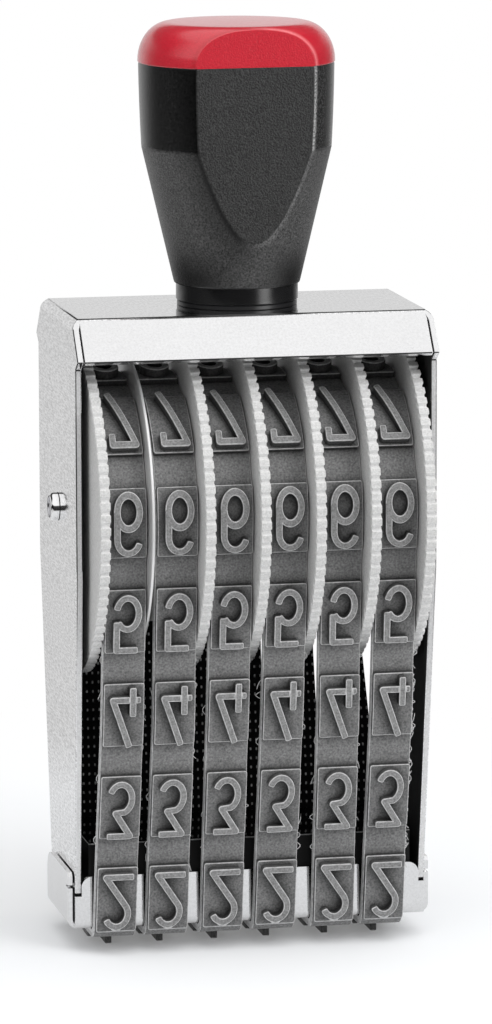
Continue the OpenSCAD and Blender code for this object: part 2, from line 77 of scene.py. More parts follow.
def placeCamera():
    a = math.radians(cameraView["azimuth"])
    e = math.radians(cameraView["elevation"])
    roll = math.radians(cameraView["roll"])
    back = Vector((math.sin(a) * math.cos(e), -math.cos(a) * math.cos(e), math.sin(e)))
    right = Vector((math.cos(a), math.sin(a), 0))
    turned = right * math.cos(roll) + back.cross(right) * math.sin(roll)
    lens = bpy.data.cameras.new("camera")
    lens.lens = cameraView["lens"]
    lens.sensor_width = cameraView["sensor"]
    lens.clip_start, lens.clip_end = cameraView["clip"]
    camera = bpy.data.objects.new("camera", lens)
    turn = Matrix((turned, back.cross(turned), back)).transposed().to_4x4()
    place = (Vector(cameraView["aim"]) + back * cameraView["distance"]) * mm
    camera.matrix_world = Matrix.Translation(place) @ turn
    bpy.context.collection.objects.link(camera)
    bpy.context.scene.camera = camera


# Soft boxes: where they stand, their size in metres and their power in watts
softBoxes = {
    "key": {"at": (0.85, -1.2, 0.95), "size": (0.8, 0.8), "power": 9.5},
    "overhead": {"at": (0.1, -0.3, 1.5), "size": (2.0, 2.0), "power": 24},
    "fill": {"at": (-1.3, -0.7, 0.5), "size": (1.2, 0.9), "power": 3.5},
}
lightAim = Vector((0, 0, 0.11))


def placeLights():
    for name, box in softBoxes.items():
        lamp = bpy.data.lights.new(name, "AREA")
        lamp.shape = "RECTANGLE"
        lamp.size, lamp.size_y = box["size"]
        lamp.energy = box["power"]
        light = bpy.data.objects.new(name, lamp)
        place = Vector(box["at"])
        light.location = place
        light.rotation_euler = (lightAim - place).to_track_quat("-Z", "Y").to_euler()
        light.visible_glossy = False  # gloss sees the painted world instead
        bpy.context.collection.objects.link(light)


def fill(tree, socket, value):
    # a number or a colour is set on the socket, anything else is linked to it
    if isinstance(value, tuple):
        socket.default_value = (*value, 1)
    elif isinstance(value, (int, float)):
        socket.default_value = value
    else:
        tree.links.new(value, socket)


def ramp(tree, value, low, high, start, end, curve="SMOOTHSTEP"):
    node = tree.nodes.new("ShaderNodeMapRange")
    node.interpolation_type = curve
    for label, number in (("From Min", low), ("From Max", high), ("To Min", start), ("To Max", end)):
        node.inputs[label].default_value = number
    tree.links.new(value, node.inputs["Value"])
    return node.outputs[0]


def mathNode(tree, operation, first, second=0.0):
    node = tree.nodes.new("ShaderNodeMath")
    node.operation = operation
    fill(tree, node.inputs[0], first)
    fill(tree, node.inputs[1], second)
    return node.outputs[0]


def times(tree, first, second):
    return mathNode(tree, "MULTIPLY", first, second)


def oneMinus(tree, value):
    return mathNode(tree, "SUBTRACT", 1.0, value)


def measure(tree, operation, vector, fixed=(0, 0, 0)):
    # a vector's length, or its dot product with a fixed one
    node = tree.nodes.new("ShaderNodeVectorMath")
    node.operation = operation
    node.inputs[1].default_value = fixed
    tree.links.new(vector, node.inputs[0])
    return node.outputs["Value"]


def separate(tree, vector):
    node = tree.nodes.new("ShaderNodeSeparateXYZ")
    tree.links.new(vector, node.inputs[0])
    return tuple(node.outputs)


def mixNumber(tree, amount, first, second):
    node = tree.nodes.new("ShaderNodeMix")
    for index, value in ((0, amount), (2, first), (3, second)):
        fill(tree, node.inputs[index], value)
    return node.outputs[0]


def mixColour(tree, amount, first, second, blend="MIX"):
    node = tree.nodes.new("ShaderNodeMix")
    node.data_type = "RGBA"
    node.blend_type = blend
    for index, value in ((0, amount), (6, first), (7, second)):
        fill(tree, node.inputs[index], value)
    return node.outputs[2]


# What gloss sees: a pale backdrop, a white box overhead that comes lower in front, a dark room around and a
# bright panel to the right; pairs are where one tone changes into the next
studio = {
    "sky": 0.3,
    "backdrop": 0.75,
    "backdropTop": (0.26, 0.42),
    "backward": (-0.3, 0.3),
    "room": 0.05,
    "overhead": 1.12,
    "overheadEdge": (0.7, 0.84),
    "frontEdge": (0.14, 0.3),
    "sides": 0.08,
    "sideEdge": (0.45, 0.9),
    "panel": 4.5,
    "panelAt": (0.67, -0.73, 0.1),
    "panelEdge": (0.95, 0.985),
}


def paintWorld():
    world = bpy.data.worlds.new("studio")
    bpy.context.scene.world = world
    world.use_nodes = True
    tree = world.node_tree
    tree.nodes.clear()
    direction = tree.nodes.new("ShaderNodeTexCoord").outputs["Generated"]
    x, y, z = separate(tree, direction)
    backdrop = ramp(tree, z, *studio["backdropTop"], studio["backdrop"], studio["room"])
    backward = ramp(tree, y, *studio["backward"], 0, 1)
    depth = mixNumber(tree, backward, studio["room"], backdrop)
    sides = ramp(tree, mathNode(tree, "ABSOLUTE", x), *studio["sideEdge"], 1, studio["sides"])
    towardPanel = measure(tree, "DOT_PRODUCT", direction, Vector(studio["panelAt"]).normalized())
    panel = ramp(tree, towardPanel, *studio["panelEdge"], 0, studio["panel"])
    around = mathNode(tree, "ADD", times(tree, depth, sides), panel)
    aboveFront = ramp(tree, z, *studio["frontEdge"], 0, 1)
    aboveBack = ramp(tree, z, *studio["overheadEdge"], 0, 1)
    above = mixNumber(tree, backward, aboveFront, aboveBack)
    glossy = mixNumber(tree, above, around, studio["overhead"])
    ray = tree.nodes.new("ShaderNodeLightPath").outputs
    lighting = mixNumber(tree, ray["Is Glossy Ray"], studio["sky"], glossy)
    seen = mathNode(tree, "MAXIMUM", ray["Is Camera Ray"], ray["Is Transmission Ray"])
    background = tree.nodes.new("ShaderNodeBackground")
    background.inputs["Color"].default_value = (1, 1, 1, 1)
    tree.links.new(mixNumber(tree, seen, lighting, 1.0), background.inputs["Strength"])
    output = tree.nodes.new("ShaderNodeOutputWorld")
    tree.links.new(background.outputs[0], output.inputs["Surface"])


# Floor, in metres: its painted tones in gloss, seen only in reflections, are near, far in front and back;
# glow is its own light, core a weaker glow right under the stamp, a painted shadow
floorSheet = {
    "radius": 1.4,
    "segments": 96,
    "shade": (0.95, 0.965, 0.985),
    "plainEdge": (0.1, 0.3),
    "near": 0.64,
    "back": 0.69,
    "backEdge": (-0.1, 0.1),
    "far": 0.05,
    "farEdge": (-0.27, -0.14),
    "sideEdge": (0.3, 0.9),
    "gloss": 0.5,
    "glow": 0.3,
    "core": 0.18,
    "coreEdge": (0.02, 0.036),
}


def floorMaterial():
    # near the stamp the floor takes its shadow, further out it is plain white
    sheet = floorSheet
    material = bpy.data.materials.new("floorWhite")
    material.use_nodes = True
    tree = material.node_tree
    tree.nodes.clear()
    place = tree.nodes.new("ShaderNodeTexCoord").outputs["Object"]
    x, y = separate(tree, place)[:2]
    plainness = ramp(tree, measure(tree, "LENGTH", place), *sheet["plainEdge"], 0, 1)
    back = ramp(tree, y, *sheet["backEdge"], sheet["near"], sheet["back"])
    front = ramp(tree, y, *sheet["farEdge"], sheet["far"], 1)
    sides = ramp(tree, mathNode(tree, "ABSOLUTE", x), *sheet["sideEdge"], 1, studio["sides"])
    glossy = tree.nodes.new("ShaderNodeLightPath").outputs["Is Glossy Ray"]
    # painted reflection: glossy rays see these tones, not the lit white floor
    tone = mixNumber(tree, glossy, 1.0, times(tree, times(tree, back, front), sides))
    least = times(tree, glossy, sheet["gloss"])
    # painted shadow: the glow drops in a strip right under the stamp
    glow = ramp(tree, mathNode(tree, "ABSOLUTE", y), *sheet["coreEdge"], sheet["core"], sheet["glow"])
    lit = tree.nodes.new("ShaderNodeBsdfDiffuse")
    lit.inputs["Color"].default_value = (*sheet["shade"], 1)
    plain = tree.nodes.new("ShaderNodeEmission")
    tree.links.new(tone, plain.inputs["Strength"])
    blend = tree.nodes.new("ShaderNodeMixShader")
    fade = mathNode(tree, "MAXIMUM", mathNode(tree, "MAXIMUM", plainness, least), glow)
    for socket, source in zip(blend.inputs, (fade, lit.outputs[0], plain.outputs[0])):
        tree.links.new(source, socket)
    output = tree.nodes.new("ShaderNodeOutputMaterial")
    tree.links.new(blend.outputs[0], output.inputs["Surface"])
    return material


def layFloor():
    bm = bmesh.new()
    bmesh.ops.create_circle(bm, cap_ends=True, radius=floorSheet["radius"], segments=floorSheet["segments"])
    mesh = bpy.data.meshes.new("floor")
    bm.to_mesh(mesh)
    bm.free()
    mesh.materials.append(floorMaterial())
    floor = bpy.data.objects.new("floor", mesh)
    bpy.context.collection.objects.link(floor)


placeCamera()
placeLights()
paintWorld()
layFloor()
bpy.context.scene.view_settings.view_transform = "Standard"
print("studio ready")


def newEffect(name, inputs, outputs):
    # a shader group whose sockets are colours or numbers, as their default values are
    effect = bpy.data.node_groups.new(name, "ShaderNodeTree")
    for label, value in inputs.items():
        isColour = isinstance(value, tuple)
        kind = "NodeSocketColor" if isColour else "NodeSocketFloat"
        socket = effect.interface.new_socket(label, in_out="INPUT", socket_type=kind)
        socket.default_value = (*value, 1) if isColour else value
    for label in outputs:
        kind = "NodeSocketColor" if label == "Colour" else "NodeSocketFloat"
        effect.interface.new_socket(label, in_out="OUTPUT", socket_type=kind)
    start = effect.nodes.new("NodeGroupInput")
    end = effect.nodes.new("NodeGroupOutput")
    return effect, start.outputs, end.inputs


def objectMm(tree):
    # the piece's own coordinates in millimetres
    place = tree.nodes.new("ShaderNodeTexCoord")
    scale = tree.nodes.new("ShaderNodeVectorMath")
    scale.operation = "SCALE"
    scale.inputs["Scale"].default_value = 1 / mm
    tree.links.new(place.outputs["Object"], scale.inputs[0])
    return scale.outputs[0]


def noiseNode(tree, vector, size, detail=2.0):
    node = tree.nodes.new("ShaderNodeTexNoise")
    tree.links.new(vector, node.inputs["Vector"])
    node.inputs["Detail"].default_value = detail
    if isinstance(size, (int, float)):
        node.inputs["Scale"].default_value = 1 / size
    else:
        tree.links.new(mathNode(tree, "DIVIDE", 1.0, size), node.inputs["Scale"])
    return node.outputs["Fac"]


def greyColour(tree, tone):
    node = tree.nodes.new("ShaderNodeCombineColor")
    for socket in node.inputs[:3]:
        tree.links.new(tone, socket)
    return node.outputs[0]


# grain: its detail, and the size and contrast of its wide patches
grainLook = {"detail": 3.0, "patch": 14.0, "patches": 0.06}


def grainEffect():
    # speckled tone and a matching height, for moulded plastic, satin plating and rubber
    effect, start, end = newEffect(
        "grain", {"Colour": (0.5, 0.5, 0.5), "Size": 0.5, "Contrast": 0.2, "Patches": 0.05, "Depth": 1.0},
        ("Colour", "Height"))
    place = objectMm(effect)
    drawn = effect.nodes.new("ShaderNodeCombineXYZ")
    for socket, value in zip(drawn.inputs, (1, start["Depth"], 1)):
        fill(effect, socket, value)
    squeezed = effect.nodes.new("ShaderNodeVectorMath")
    squeezed.operation = "MULTIPLY"
    effect.links.new(place, squeezed.inputs[0])
    effect.links.new(drawn.outputs[0], squeezed.inputs[1])
    speckle = noiseNode(effect, squeezed.outputs[0], start["Size"], grainLook["detail"])
    patch = noiseNode(effect, place, grainLook["patch"])
    fine = times(effect, mathNode(effect, "SUBTRACT", speckle, 0.5), start["Contrast"])
    wide = times(effect, mathNode(effect, "SUBTRACT", patch, 0.5), start["Patches"])
    tone = mathNode(effect, "ADD", mathNode(effect, "ADD", fine, wide), 1.0)
    shaded = mixColour(effect, 1.0, start["Colour"], greyColour(effect, tone), "MULTIPLY")
    effect.links.new(shaded, end["Colour"])
    effect.links.new(speckle, end["Height"])
    return effect


faceMarks = ("edge", "face", "flank")
# wear and painted shade: size of the rubbed patches, what they leave of an edge, and how open a corner stays
# free of painted corner shade
wearAndShadeLook = {"rub": 1.1, "rubbed": (0.3, 0.6, 0.45, 1), "open": (0.35, 0.95, 0, 1), "samples": 8}
black = (0.0, 0.0, 0.0)


def wearAndShadeEffect():
    # from the marks on the faces: lighter edges, partly wear and partly painted highlight, paler marked
    # faces, and darker flanks as painted shade; and painted shade in corners
    effect, start, end = newEffect(
        "wearAndShade", {"Colour": (0.2, 0.2, 0.2), "Edge Colour": (0.5, 0.5, 0.5), "Edge": 0.6, "Face": 0.2,
                 "Flank": 0.4, "Corner Shade": 0.0, "Reach": 0.002}, ("Colour",))
    amounts = []
    for mark in faceMarks:
        node = effect.nodes.new("ShaderNodeAttribute")
        node.attribute_name = mark
        amounts.append(node.outputs["Fac"])
    edge, face, flank = amounts
    rub = noiseNode(effect, objectMm(effect), wearAndShadeLook["rub"])
    edge = times(effect, edge, ramp(effect, rub, *wearAndShadeLook["rubbed"], "LINEAR"))
    # painted shade: corners darken where little of the surroundings is in reach
    corners = effect.nodes.new("ShaderNodeAmbientOcclusion")
    corners.samples = wearAndShadeLook["samples"]
    corners.only_local = True
    effect.links.new(start["Reach"], corners.inputs["Distance"])
    unshaded = ramp(effect, corners.outputs["AO"], *wearAndShadeLook["open"], "LINEAR")
    cornerShade = times(effect, oneMinus(effect, unshaded), start["Corner Shade"])
    colour = mixColour(effect, cornerShade, start["Colour"], black)
    # painted shade on the flanks
    colour = mixColour(effect, times(effect, flank, start["Flank"]), colour, black)
    colour = mixColour(effect, times(effect, face, start["Face"]), colour, start["Edge Colour"])
    colour = mixColour(effect, times(effect, edge, start["Edge"]), colour, start["Edge Colour"])
    effect.links.new(colour, end["Colour"])
    return effect


# weave: how high a thread lies where it shows, and the size and least tone of its worn patches
weaveLook = {"knot": (0.35, 0.9, 0, 1), "patch": 3.0, "least": 0.35}


def weaveEffect():
    # plain weave over the piece's own map, which is in millimetres across and along
    effect, start, end = newEffect(
        "weave", {"Colour": (0.02, 0.02, 0.02), "Thread Colour": (0.3, 0.3, 0.3), "Across": 0.9,
                  "Along": 0.9}, ("Colour", "Height"))
    uv = effect.nodes.new("ShaderNodeUVMap")
    uv.uv_map = "alongBand"
    place = uv.outputs[0]
    x, y = separate(effect, place)[:2]
    waves = []
    for distance, label in ((x, "Across"), (y, "Along")):
        angle = mathNode(effect, "DIVIDE", times(effect, distance, 2 * math.pi), start[label])
        waves.append(mathNode(effect, "MAXIMUM", mathNode(effect, "SINE", angle), 0.0))
    lifted = times(effect, *waves)
    knot = ramp(effect, lifted, *weaveLook["knot"], "LINEAR")
    patch = noiseNode(effect, place, weaveLook["patch"])
    amount = times(effect, knot, mathNode(effect, "ADD", patch, weaveLook["least"]))
    effect.links.new(mixColour(effect, amount, start["Colour"], start["Thread Colour"]), end["Colour"])
    effect.links.new(lifted, end["Height"])
    return effect


grain = grainEffect()
wearAndShade = wearAndShadeEffect()
weave = weaveEffect()


def placeEffect(tree, effect, values):
    node = tree.nodes.new("ShaderNodeGroup")
    node.node_tree = effect
    for label, value in values.items():
        fill(tree, node.inputs[label], value)
    return node.outputs


def bumpFrom(tree, shader, height, depth):
    bump = tree.nodes.new("ShaderNodeBump")
    bump.inputs["Strength"].default_value = 1
    bump.inputs["Distance"].default_value = depth * mm
    tree.links.new(height, bump.inputs["Height"])
    tree.links.new(bump.outputs["Normal"], shader.inputs["Normal"])


def newMaterial(name, roughness, metallic=0.0, specular=0.5):
    material = bpy.data.materials.new(name)
    material.use_nodes = True
    tree = material.node_tree
    shader = tree.nodes["Principled BSDF"]
    shader.inputs["Roughness"].default_value = roughness
    shader.inputs["Metallic"].default_value = metallic
    shader.inputs["Specular IOR Level"].default_value = specular
    return material, tree, shader


def grainyMaterial(name, colour, roughness, grainSize, contrast, bump, metallic=0.0, specular=0.5,
                   marks=None, depth=1.0):
    # a finish with grain; marks adds the worn edges and the painted light and shade of the pieces that carry
    # them, and a low depth draws the grain out from front to back
    material, tree, shader = newMaterial(name, roughness, metallic, specular)
    speckled = placeEffect(tree, grain, {"Colour": colour, "Size": grainSize, "Contrast": contrast,
                                         "Patches": grainLook["patches"], "Depth": depth})
    tone = speckled["Colour"]
    if marks:
        tone = placeEffect(tree, wearAndShade, {"Colour": tone, **marks})["Colour"]
    tree.links.new(tone, shader.inputs["Base Color"])
    if bump:
        bumpFrom(tree, shader, speckled["Height"], bump)
    return material


plating = (0.78, 0.78, 0.785)
platedSheet = grainyMaterial("platedSheet", plating, 0.1, 0.45, 1.6, 0.002, metallic=1.0, depth=0.2)
platedFold = grainyMaterial("platedFold", plating, 0.1, 0.6, 0.25, 0.001, metallic=1.0)
platedTop = grainyMaterial("platedTop", plating, 0.1, 0.5, 0.95, 0.002, metallic=1.0, depth=0.2)
# painted shade: the inner faces are painted near black, standing in for the dark room between the plates that
# they would mirror
paintedShadeInside = grainyMaterial("paintedShadeInside", (0.03, 0.03, 0.03), 0.6, 0.65, 0.8, 0.0, specular=0.05)
# painted dark lines: near black, on thin rounded edges of the sheet and where the fittings meet the plates
paintedDarkLine = grainyMaterial("paintedDarkLine", (0.025, 0.025, 0.025), 0.45, 0.6, 0.5, 0.0, specular=0.2)
shearedEdge = grainyMaterial("shearedEdge", (0.72, 0.72, 0.725), 0.4, 0.5, 0.5, 0.01, metallic=0.4)
platedFittings = grainyMaterial("platedFittings", (0.85, 0.85, 0.855), 0.06, 0.6, 0.06, 0.0, metallic=1.0)
brightDisc = grainyMaterial("brightDisc", (0.8, 0.8, 0.8), 0.35, 0.6, 0.06, 0.0, metallic=0.35)
turnedSteel = grainyMaterial("turnedSteel", (0.55, 0.55, 0.57), 0.32, 0.3, 0.2, 0.004, metallic=1.0)
gripNeck = grainyMaterial("gripNeck", (0.005, 0.005, 0.0055), 0.21, 0.45, 0.6, 0.005, specular=1.0)
ringPlastic = grainyMaterial("ringPlastic", (0.012, 0.012, 0.013), 0.3, 0.5, 0.3, 0.01)
wheelPlastic = grainyMaterial(
    "wheelPlastic", (0.58, 0.58, 0.575), 0.48, 0.45, 0.8, 0.03,
    marks={"Edge Colour": (0.9, 0.9, 0.9), "Edge": 0.22, "Face": 0.4, "Flank": 0.0})
# lighter edges here are partly wear and partly painted highlight; flanks and corners carry painted shade
figureRubber = grainyMaterial(
    "figureRubber", (0.192, 0.192, 0.192), 0.62, 0.5, 2.0, 0.06, specular=0.35,
    marks={"Edge Colour": (0.68, 0.68, 0.68), "Edge": 0.75, "Face": 0.06, "Flank": 0.6,
           "Corner Shade": 0.75, "Reach": 0.0035})
blockPlastic = grainyMaterial("blockPlastic", (0.006, 0.006, 0.006), 0.5, 0.5, 0.4, 0.01, specular=0.2)
blockTop = grainyMaterial("blockTop", (0.006, 0.006, 0.006), 0.04, 0.5, 0.4, 0.0, specular=1.0)
# painted highlight: the lighter grey of the block's long upper edges
blockEdgeHighlight = grainyMaterial("blockEdgeHighlight", (0.22, 0.22, 0.22), 0.4, 0.7, 3.0, 0.0)


def carrierMaterial():
    material, tree, shader = newMaterial("wovenCarrier", 0.8, specular=0.2)
    cloth = placeEffect(tree, weave, {"Colour": (0.006, 0.006, 0.006), "Thread Colour": (0.95, 0.95, 0.95),
                                      "Across": 1.55, "Along": 2.4})
    tree.links.new(cloth["Colour"], shader.inputs["Base Color"])
    bumpFrom(tree, shader, cloth["Height"], 0.08)
    return material


def threadMaterial():
    material, tree, shader = newMaterial("cutThreads", 0.8, specular=0.2)
    shade = noiseNode(tree, objectMm(tree), 0.35, 1.0)
    colour = mixColour(tree, shade, (0.3, 0.3, 0.3), (0.95, 0.95, 0.95))
    tree.links.new(colour, shader.inputs["Base Color"])
    return material


wovenCarrier = carrierMaterial()
cutThreads = threadMaterial()
print("materials ready")


def faceOut(bm):
    bmesh.ops.recalc_face_normals(bm, faces=bm.faces)


def lathe(outline, steps=96, closed=False):
    # spins an outline of (radius, height) points about Z
    bm = bmesh.new()
    verts = [bm.verts.new((radius, 0, height)) for radius, height in outline]
    edges = [bm.edges.new(pair) for pair in zip(verts, verts[1:])]
    if closed:
        edges.append(bm.edges.new((verts[-1], verts[0])))
    bmesh.ops.spin(bm, geom=verts + edges, cent=(0, 0, 0), axis=(0, 0, 1), angle=2 * math.pi, steps=steps,
                   use_merge=True, use_duplicate=False)
    bmesh.ops.remove_doubles(bm, verts=bm.verts, dist=0.0005)
    faceOut(bm)
    return bm


def only(items, kind):
    return [item for item in items if isinstance(item, kind)]


def creases(bm, degrees):
    limit = math.radians(degrees)
    return [edge for edge in bm.edges if len(edge.link_faces) == 2 and edge.calc_face_angle(0) > limit]


def bevelEdges(bm, edges, width, segments=2, clamp=True):
    made = bmesh.ops.bevel(bm, geom=list(edges), offset=width, offset_type="OFFSET", segments=segments,
                           profile=0.5, affect="EDGES", clamp_overlap=clamp, material=-1)
    return [face for face in made["faces"] if face.is_valid]


def addMarks(bm):
    # the layers exist before any face is kept in a list, because a new layer renews all faces
    for name in faceMarks:
        bm.faces.layers.float.new(name)


def markFaces(bm, name, faces, value=1.0):
    layer = bm.faces.layers.float[name]
    for face in faces:
        face[layer] = value


def turnAndMove(bm, turn=None, move=(0, 0, 0)):
    if turn:
        bmesh.ops.transform(bm, matrix=turn, verts=bm.verts)
    bmesh.ops.translate(bm, vec=move, verts=bm.verts)


def layAcross(bm, place, side=1):
    # from standing along Z to lying along the axle; side -1 turns the upper end to the left
    turnAndMove(bm, Matrix.Rotation(math.radians(90 * side), 4, "Y"), (place, 0, middleMm("axle", 2)))


def addTo(target, source):
    # moves all of one bmesh into another
    mesh = bpy.data.meshes.new("moving")
    source.to_mesh(mesh)
    source.free()
    target.from_mesh(mesh)
    bpy.data.meshes.remove(mesh)


def finishPiece(name, bm, looks, node, smoothBelow=35, body="stamp_frame"):
    bmesh.ops.scale(bm, vec=(mm, mm, mm), verts=bm.verts)
    limit = math.radians(smoothBelow)
    for face in bm.faces:
        face.smooth = True
    for edge in bm.edges:
        edge.smooth = edge.calc_face_angle(0) < limit
    mesh = bpy.data.meshes.new(name)
    bm.to_mesh(mesh)
    bm.free()
    for look in looks:
        mesh.materials.append(look)
    piece = bpy.data.objects.new(name, mesh)
    bpy.context.collection.objects.link(piece)
    flats = piece.modifiers.new("flats", "WEIGHTED_NORMAL")
    flats.keep_sharp = True
    flats.weight = 90
    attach(piece, body)
    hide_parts(node)


def nodeCopy(node):
    # a merged copy of a node's mesh in millimetres, flat faces whole again
    bm = bmesh.new()
    bm.from_mesh(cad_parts[node].data)
    bmesh.ops.scale(bm, vec=(1 / mm, 1 / mm, 1 / mm), verts=bm.verts)
    bmesh.ops.remove_doubles(bm, verts=bm.verts, dist=0.001)
    bmesh.ops.dissolve_limit(bm, angle_limit=math.radians(0.3), verts=bm.verts, edges=bm.edges,
                             use_dissolve_boundaries=False, delimit=set())
    for face in bm.faces:
        face.material_index = 0
    return bm


sheetShape = {
    "edgeRound": 0.26,
    "creaseFrom": 42,
    "segments": 2,
    "hoodAngle": (38, 42),
    "hoodRound": 0.9,
    "hoodSegments": 4,
    "hoodDrop": 12.5,
    "sideBend": 2.4,
    "plateZone": 4,
    "darkLineSpan": (100.6, 141),
    "trayRound": 0.3,
    "trayCreaseFrom": 40,
    "blockRound": 0.3,
    "blockCreaseFrom": 30,
    "smoothBelow": 30,
}
frameLooks = [platedSheet, shearedEdge, platedFold, paintedDarkLine, paintedShadeInside, platedTop]


def paint(face, look):
    face.material_index = frameLooks.index(look)


def straightenTop(sheet, top, half):
    # the flat top runs into its side bends without a step
    tangent = half - sheetShape["sideBend"]
    for vert in sheet.verts:
        if vert.co.z > top - 0.01 and abs(vert.co.x) > tangent:
            vert.co.x = math.copysign(tangent, vert.co.x)


def roundSheet(sheet, top):
    # rounds the hoods' bends first, then every sharp edge, and gives the faces of these
    sharpFrom, sharpTo = sheetShape["hoodAngle"]
    bends = [edge for edge in creases(sheet, sharpFrom) if edge.calc_face_angle(0) < math.radians(sharpTo)
             and min(vert.co.z for vert in edge.verts) > top - 0.1 and edge.is_convex]
    bevelEdges(sheet, bends, sheetShape["hoodRound"], sheetShape["hoodSegments"])
    return bevelEdges(sheet, creases(sheet, sheetShape["creaseFrom"]), sheetShape["edgeRound"],
                      sheetShape["segments"], clamp=False)


def paintSheet(sheet, top, half):
    # the sheared edges of the side plates are duller than the sheet's faces, the hoods finer, and the plates'
    # inner faces carry painted shade
    for face in sheet.faces:
        x, y, z = face.normal
        middle = face.calc_center_median()
        onPlate = abs(middle.x) > half - sheetShape["plateZone"]
        if abs(y) > 0.98 and onPlate:
            paint(face, shearedEdge)
        elif middle.z > top - sheetShape["hoodDrop"] and abs(y) > 0.6:
            paint(face, platedFold)
        elif middle.x * x < 0 and abs(x) > 0.9 and onPlate:
            paint(face, paintedShadeInside)
        elif z > 0.95 and middle.z > top - 1:
            paint(face, platedTop)


def cutAtDarkLine(sheet, rounded):
    # divides the rounded edges where the painted dark line on the plates' front edges begins and ends
    for height in sheetShape["darkLineSpan"]:
        parts = dict.fromkeys(item for face in rounded for item in (face, *face.edges, *face.verts))
        cut = bmesh.ops.bisect_plane(sheet, geom=list(parts), plane_co=(0, 0, height), plane_no=(0, 0, 1),
                                     dist=0.0001)
        rounded = only(cut["geom"], bmesh.types.BMFace)
    return rounded


def paintRounds(rounded, top):
    # a painted dark line on the front edges of the side plates between the given heights, painted shade along
    # the hoods' left ends and lower edges, and dull side bends of the top
    low, high = sheetShape["darkLineSpan"]
    for face in rounded:
        facing = face.normal
        x, y, z = (abs(part) for part in facing)
        height = face.calc_center_median().z
        if low < height < high and x > 0.2 and facing.y < -0.2 and z < 0.2:
            paint(face, paintedDarkLine)
        elif height > top - sheetShape["hoodDrop"] and y > 0.15 and facing.z < 0.64:
            leftEnd = x > 0.15 and z > 0.15 and facing.x * facing.y > 0
            if leftEnd or (x < 0.2 and (y > 0.8 or facing.z < -0.5)):
                paint(face, paintedDarkLine)
            elif x > 0.3:
                paint(face, shearedEdge)
        elif x > 0.2 and y < 0.15 and facing.z > 0.2 and height > top - 1:
            paint(face, shearedEdge)


def bendFrame():
    sheet = nodeCopy("frame")
    top = boxMm("frame")[1].z
    half = sizeMm("frame", 0) / 2
    straightenTop(sheet, top, half)
    rounded = roundSheet(sheet, top)
    sheet.normal_update()
    paintSheet(sheet, top, half)
    paintRounds(cutAtDarkLine(sheet, rounded), top)
    finishPiece("sheet_frame", sheet, frameLooks, "frame", sheetShape["smoothBelow"])


def bendTray():
    tray = nodeCopy("bridge")
    bevelEdges(tray, creases(tray, sheetShape["trayCreaseFrom"]), sheetShape["trayRound"],
               sheetShape["segments"])
    finishPiece("bridge_tray", tray, [platedFold], "bridge", sheetShape["smoothBelow"])


def roundBlock():
    block = nodeCopy("printing_block")
    corners = bevelEdges(block, creases(block, sheetShape["blockCreaseFrom"]), sheetShape["blockRound"])
    block.normal_update()
    for face in block.faces:
        face.material_index = 1 if face.normal.z > 0.9 else 0
    for face in corners:
        # painted highlight: the long upper edges are painted a lighter grey where light catches them
        if face.normal.z > 0.2 and abs(face.normal.y) > 0.2:
            face.material_index = 2
    finishPiece("inner_block", block, [blockPlastic, blockTop, blockEdgeHighlight], "printing_block")


bendFrame()
bendTray()
roundBlock()
print("sheet parts ready")


handleShape = {
    "neckRadius": 15.6,
    "coneLow": 16.15,
    "coneTop": 24.3,
    "gripTop": 25.0,
    "lipHeight": 4.7,
    "coneHeight": 34.7,
    "coneRings": (0.25, 9, 18, 26, 31.5),
    "upperRings": (6, 11, 16),
    "swell": 0.08,
    "flatDistance": 19.85,
    "flatLean": 1.27,
    "flatTurn": 2.8,
    "flatRound": 0.9,
    "capProud": 0.15,
    "capRoll": 8,
    "capDome": 0.2,
    "capTopRound": 0.4,
    "ringBore": 3.2,
    "steps": 128,
    "smoothBelow": 40,
}


def flatPlane(side, seam):
    # a point on one of the two flats, which lean in toward the neck, and the way it faces
    turn = Matrix.Rotation(math.radians(handleShape["flatTurn"] + side), 3, "Z") @ Matrix.Rotation(
        math.radians(-handleShape["flatLean"]), 3, "X")
    point = turn @ Vector((0, handleShape["flatDistance"], 0)) + Vector((0, 0, seam))
    return point, turn @ Vector((0, 1, 0))


# Painted light and shade of the grip: flats, cone (painted lighter, a painted reflection, with painted shade
# in its lower corners), polished sides above it (painted lighter on the right), and the borders of the flats,
# with painted shade and a painted shade halo on the left and a painted highlight on the right; pairs are
# distances over which one tone changes into the next
gripTones = {
    "flat": 0.021,
    "cone": 0.058,
    "coneLow": 0.004,
    "side": 0.011,
    "sideRight": 0.03,
    "left": 0.003,
    "right": 0.33,
    "rightLow": 0.11,
    "halo": 0.6,
    "flatRough": 0.38,
    "sideRough": 0.24,
    "sideBump": 0.2,
    "grain": 0.45,
    "contrast": 4.2,
    "patches": 0.25,
    "depth": 0.22,
    "outline": (-1.9, -0.5),
    "edge": (-0.5, -0.08),
    "haloFrom": (-8.5, -0.8),
    "coneBreak": 0.7,
    "lowCorner": (5.5, 17),
    "aside": (1, 12),
    "toRight": (-4, 6),
}


def flatGap(tree, place, seam, axis):
    # how far along the surface a point lies from the nearest flat: zero on it, negative away from it
    gaps = []
    for side in (0, 180):
        point, facing = flatPlane(side, seam)
        along = measure(tree, "DOT_PRODUCT", place, facing)
        gaps.append(mathNode(tree, "SUBTRACT", along, facing.dot(point + Vector(axis))))
    normal = tree.nodes.new("ShaderNodeNewGeometry").outputs["Normal"]
    turned = measure(tree, "DOT_PRODUCT", normal, flatPlane(0, seam)[1])
    cosine = mathNode(tree, "MINIMUM", mathNode(tree, "ABSOLUTE", turned), 1.0)
    slope = mathNode(tree, "SINE", mathNode(tree, "ARCCOSINE", cosine))
    nearest = mathNode(tree, "MAXIMUM", *gaps)
    return mathNode(tree, "DIVIDE", nearest, mathNode(tree, "MAXIMUM", slope, 0.12))


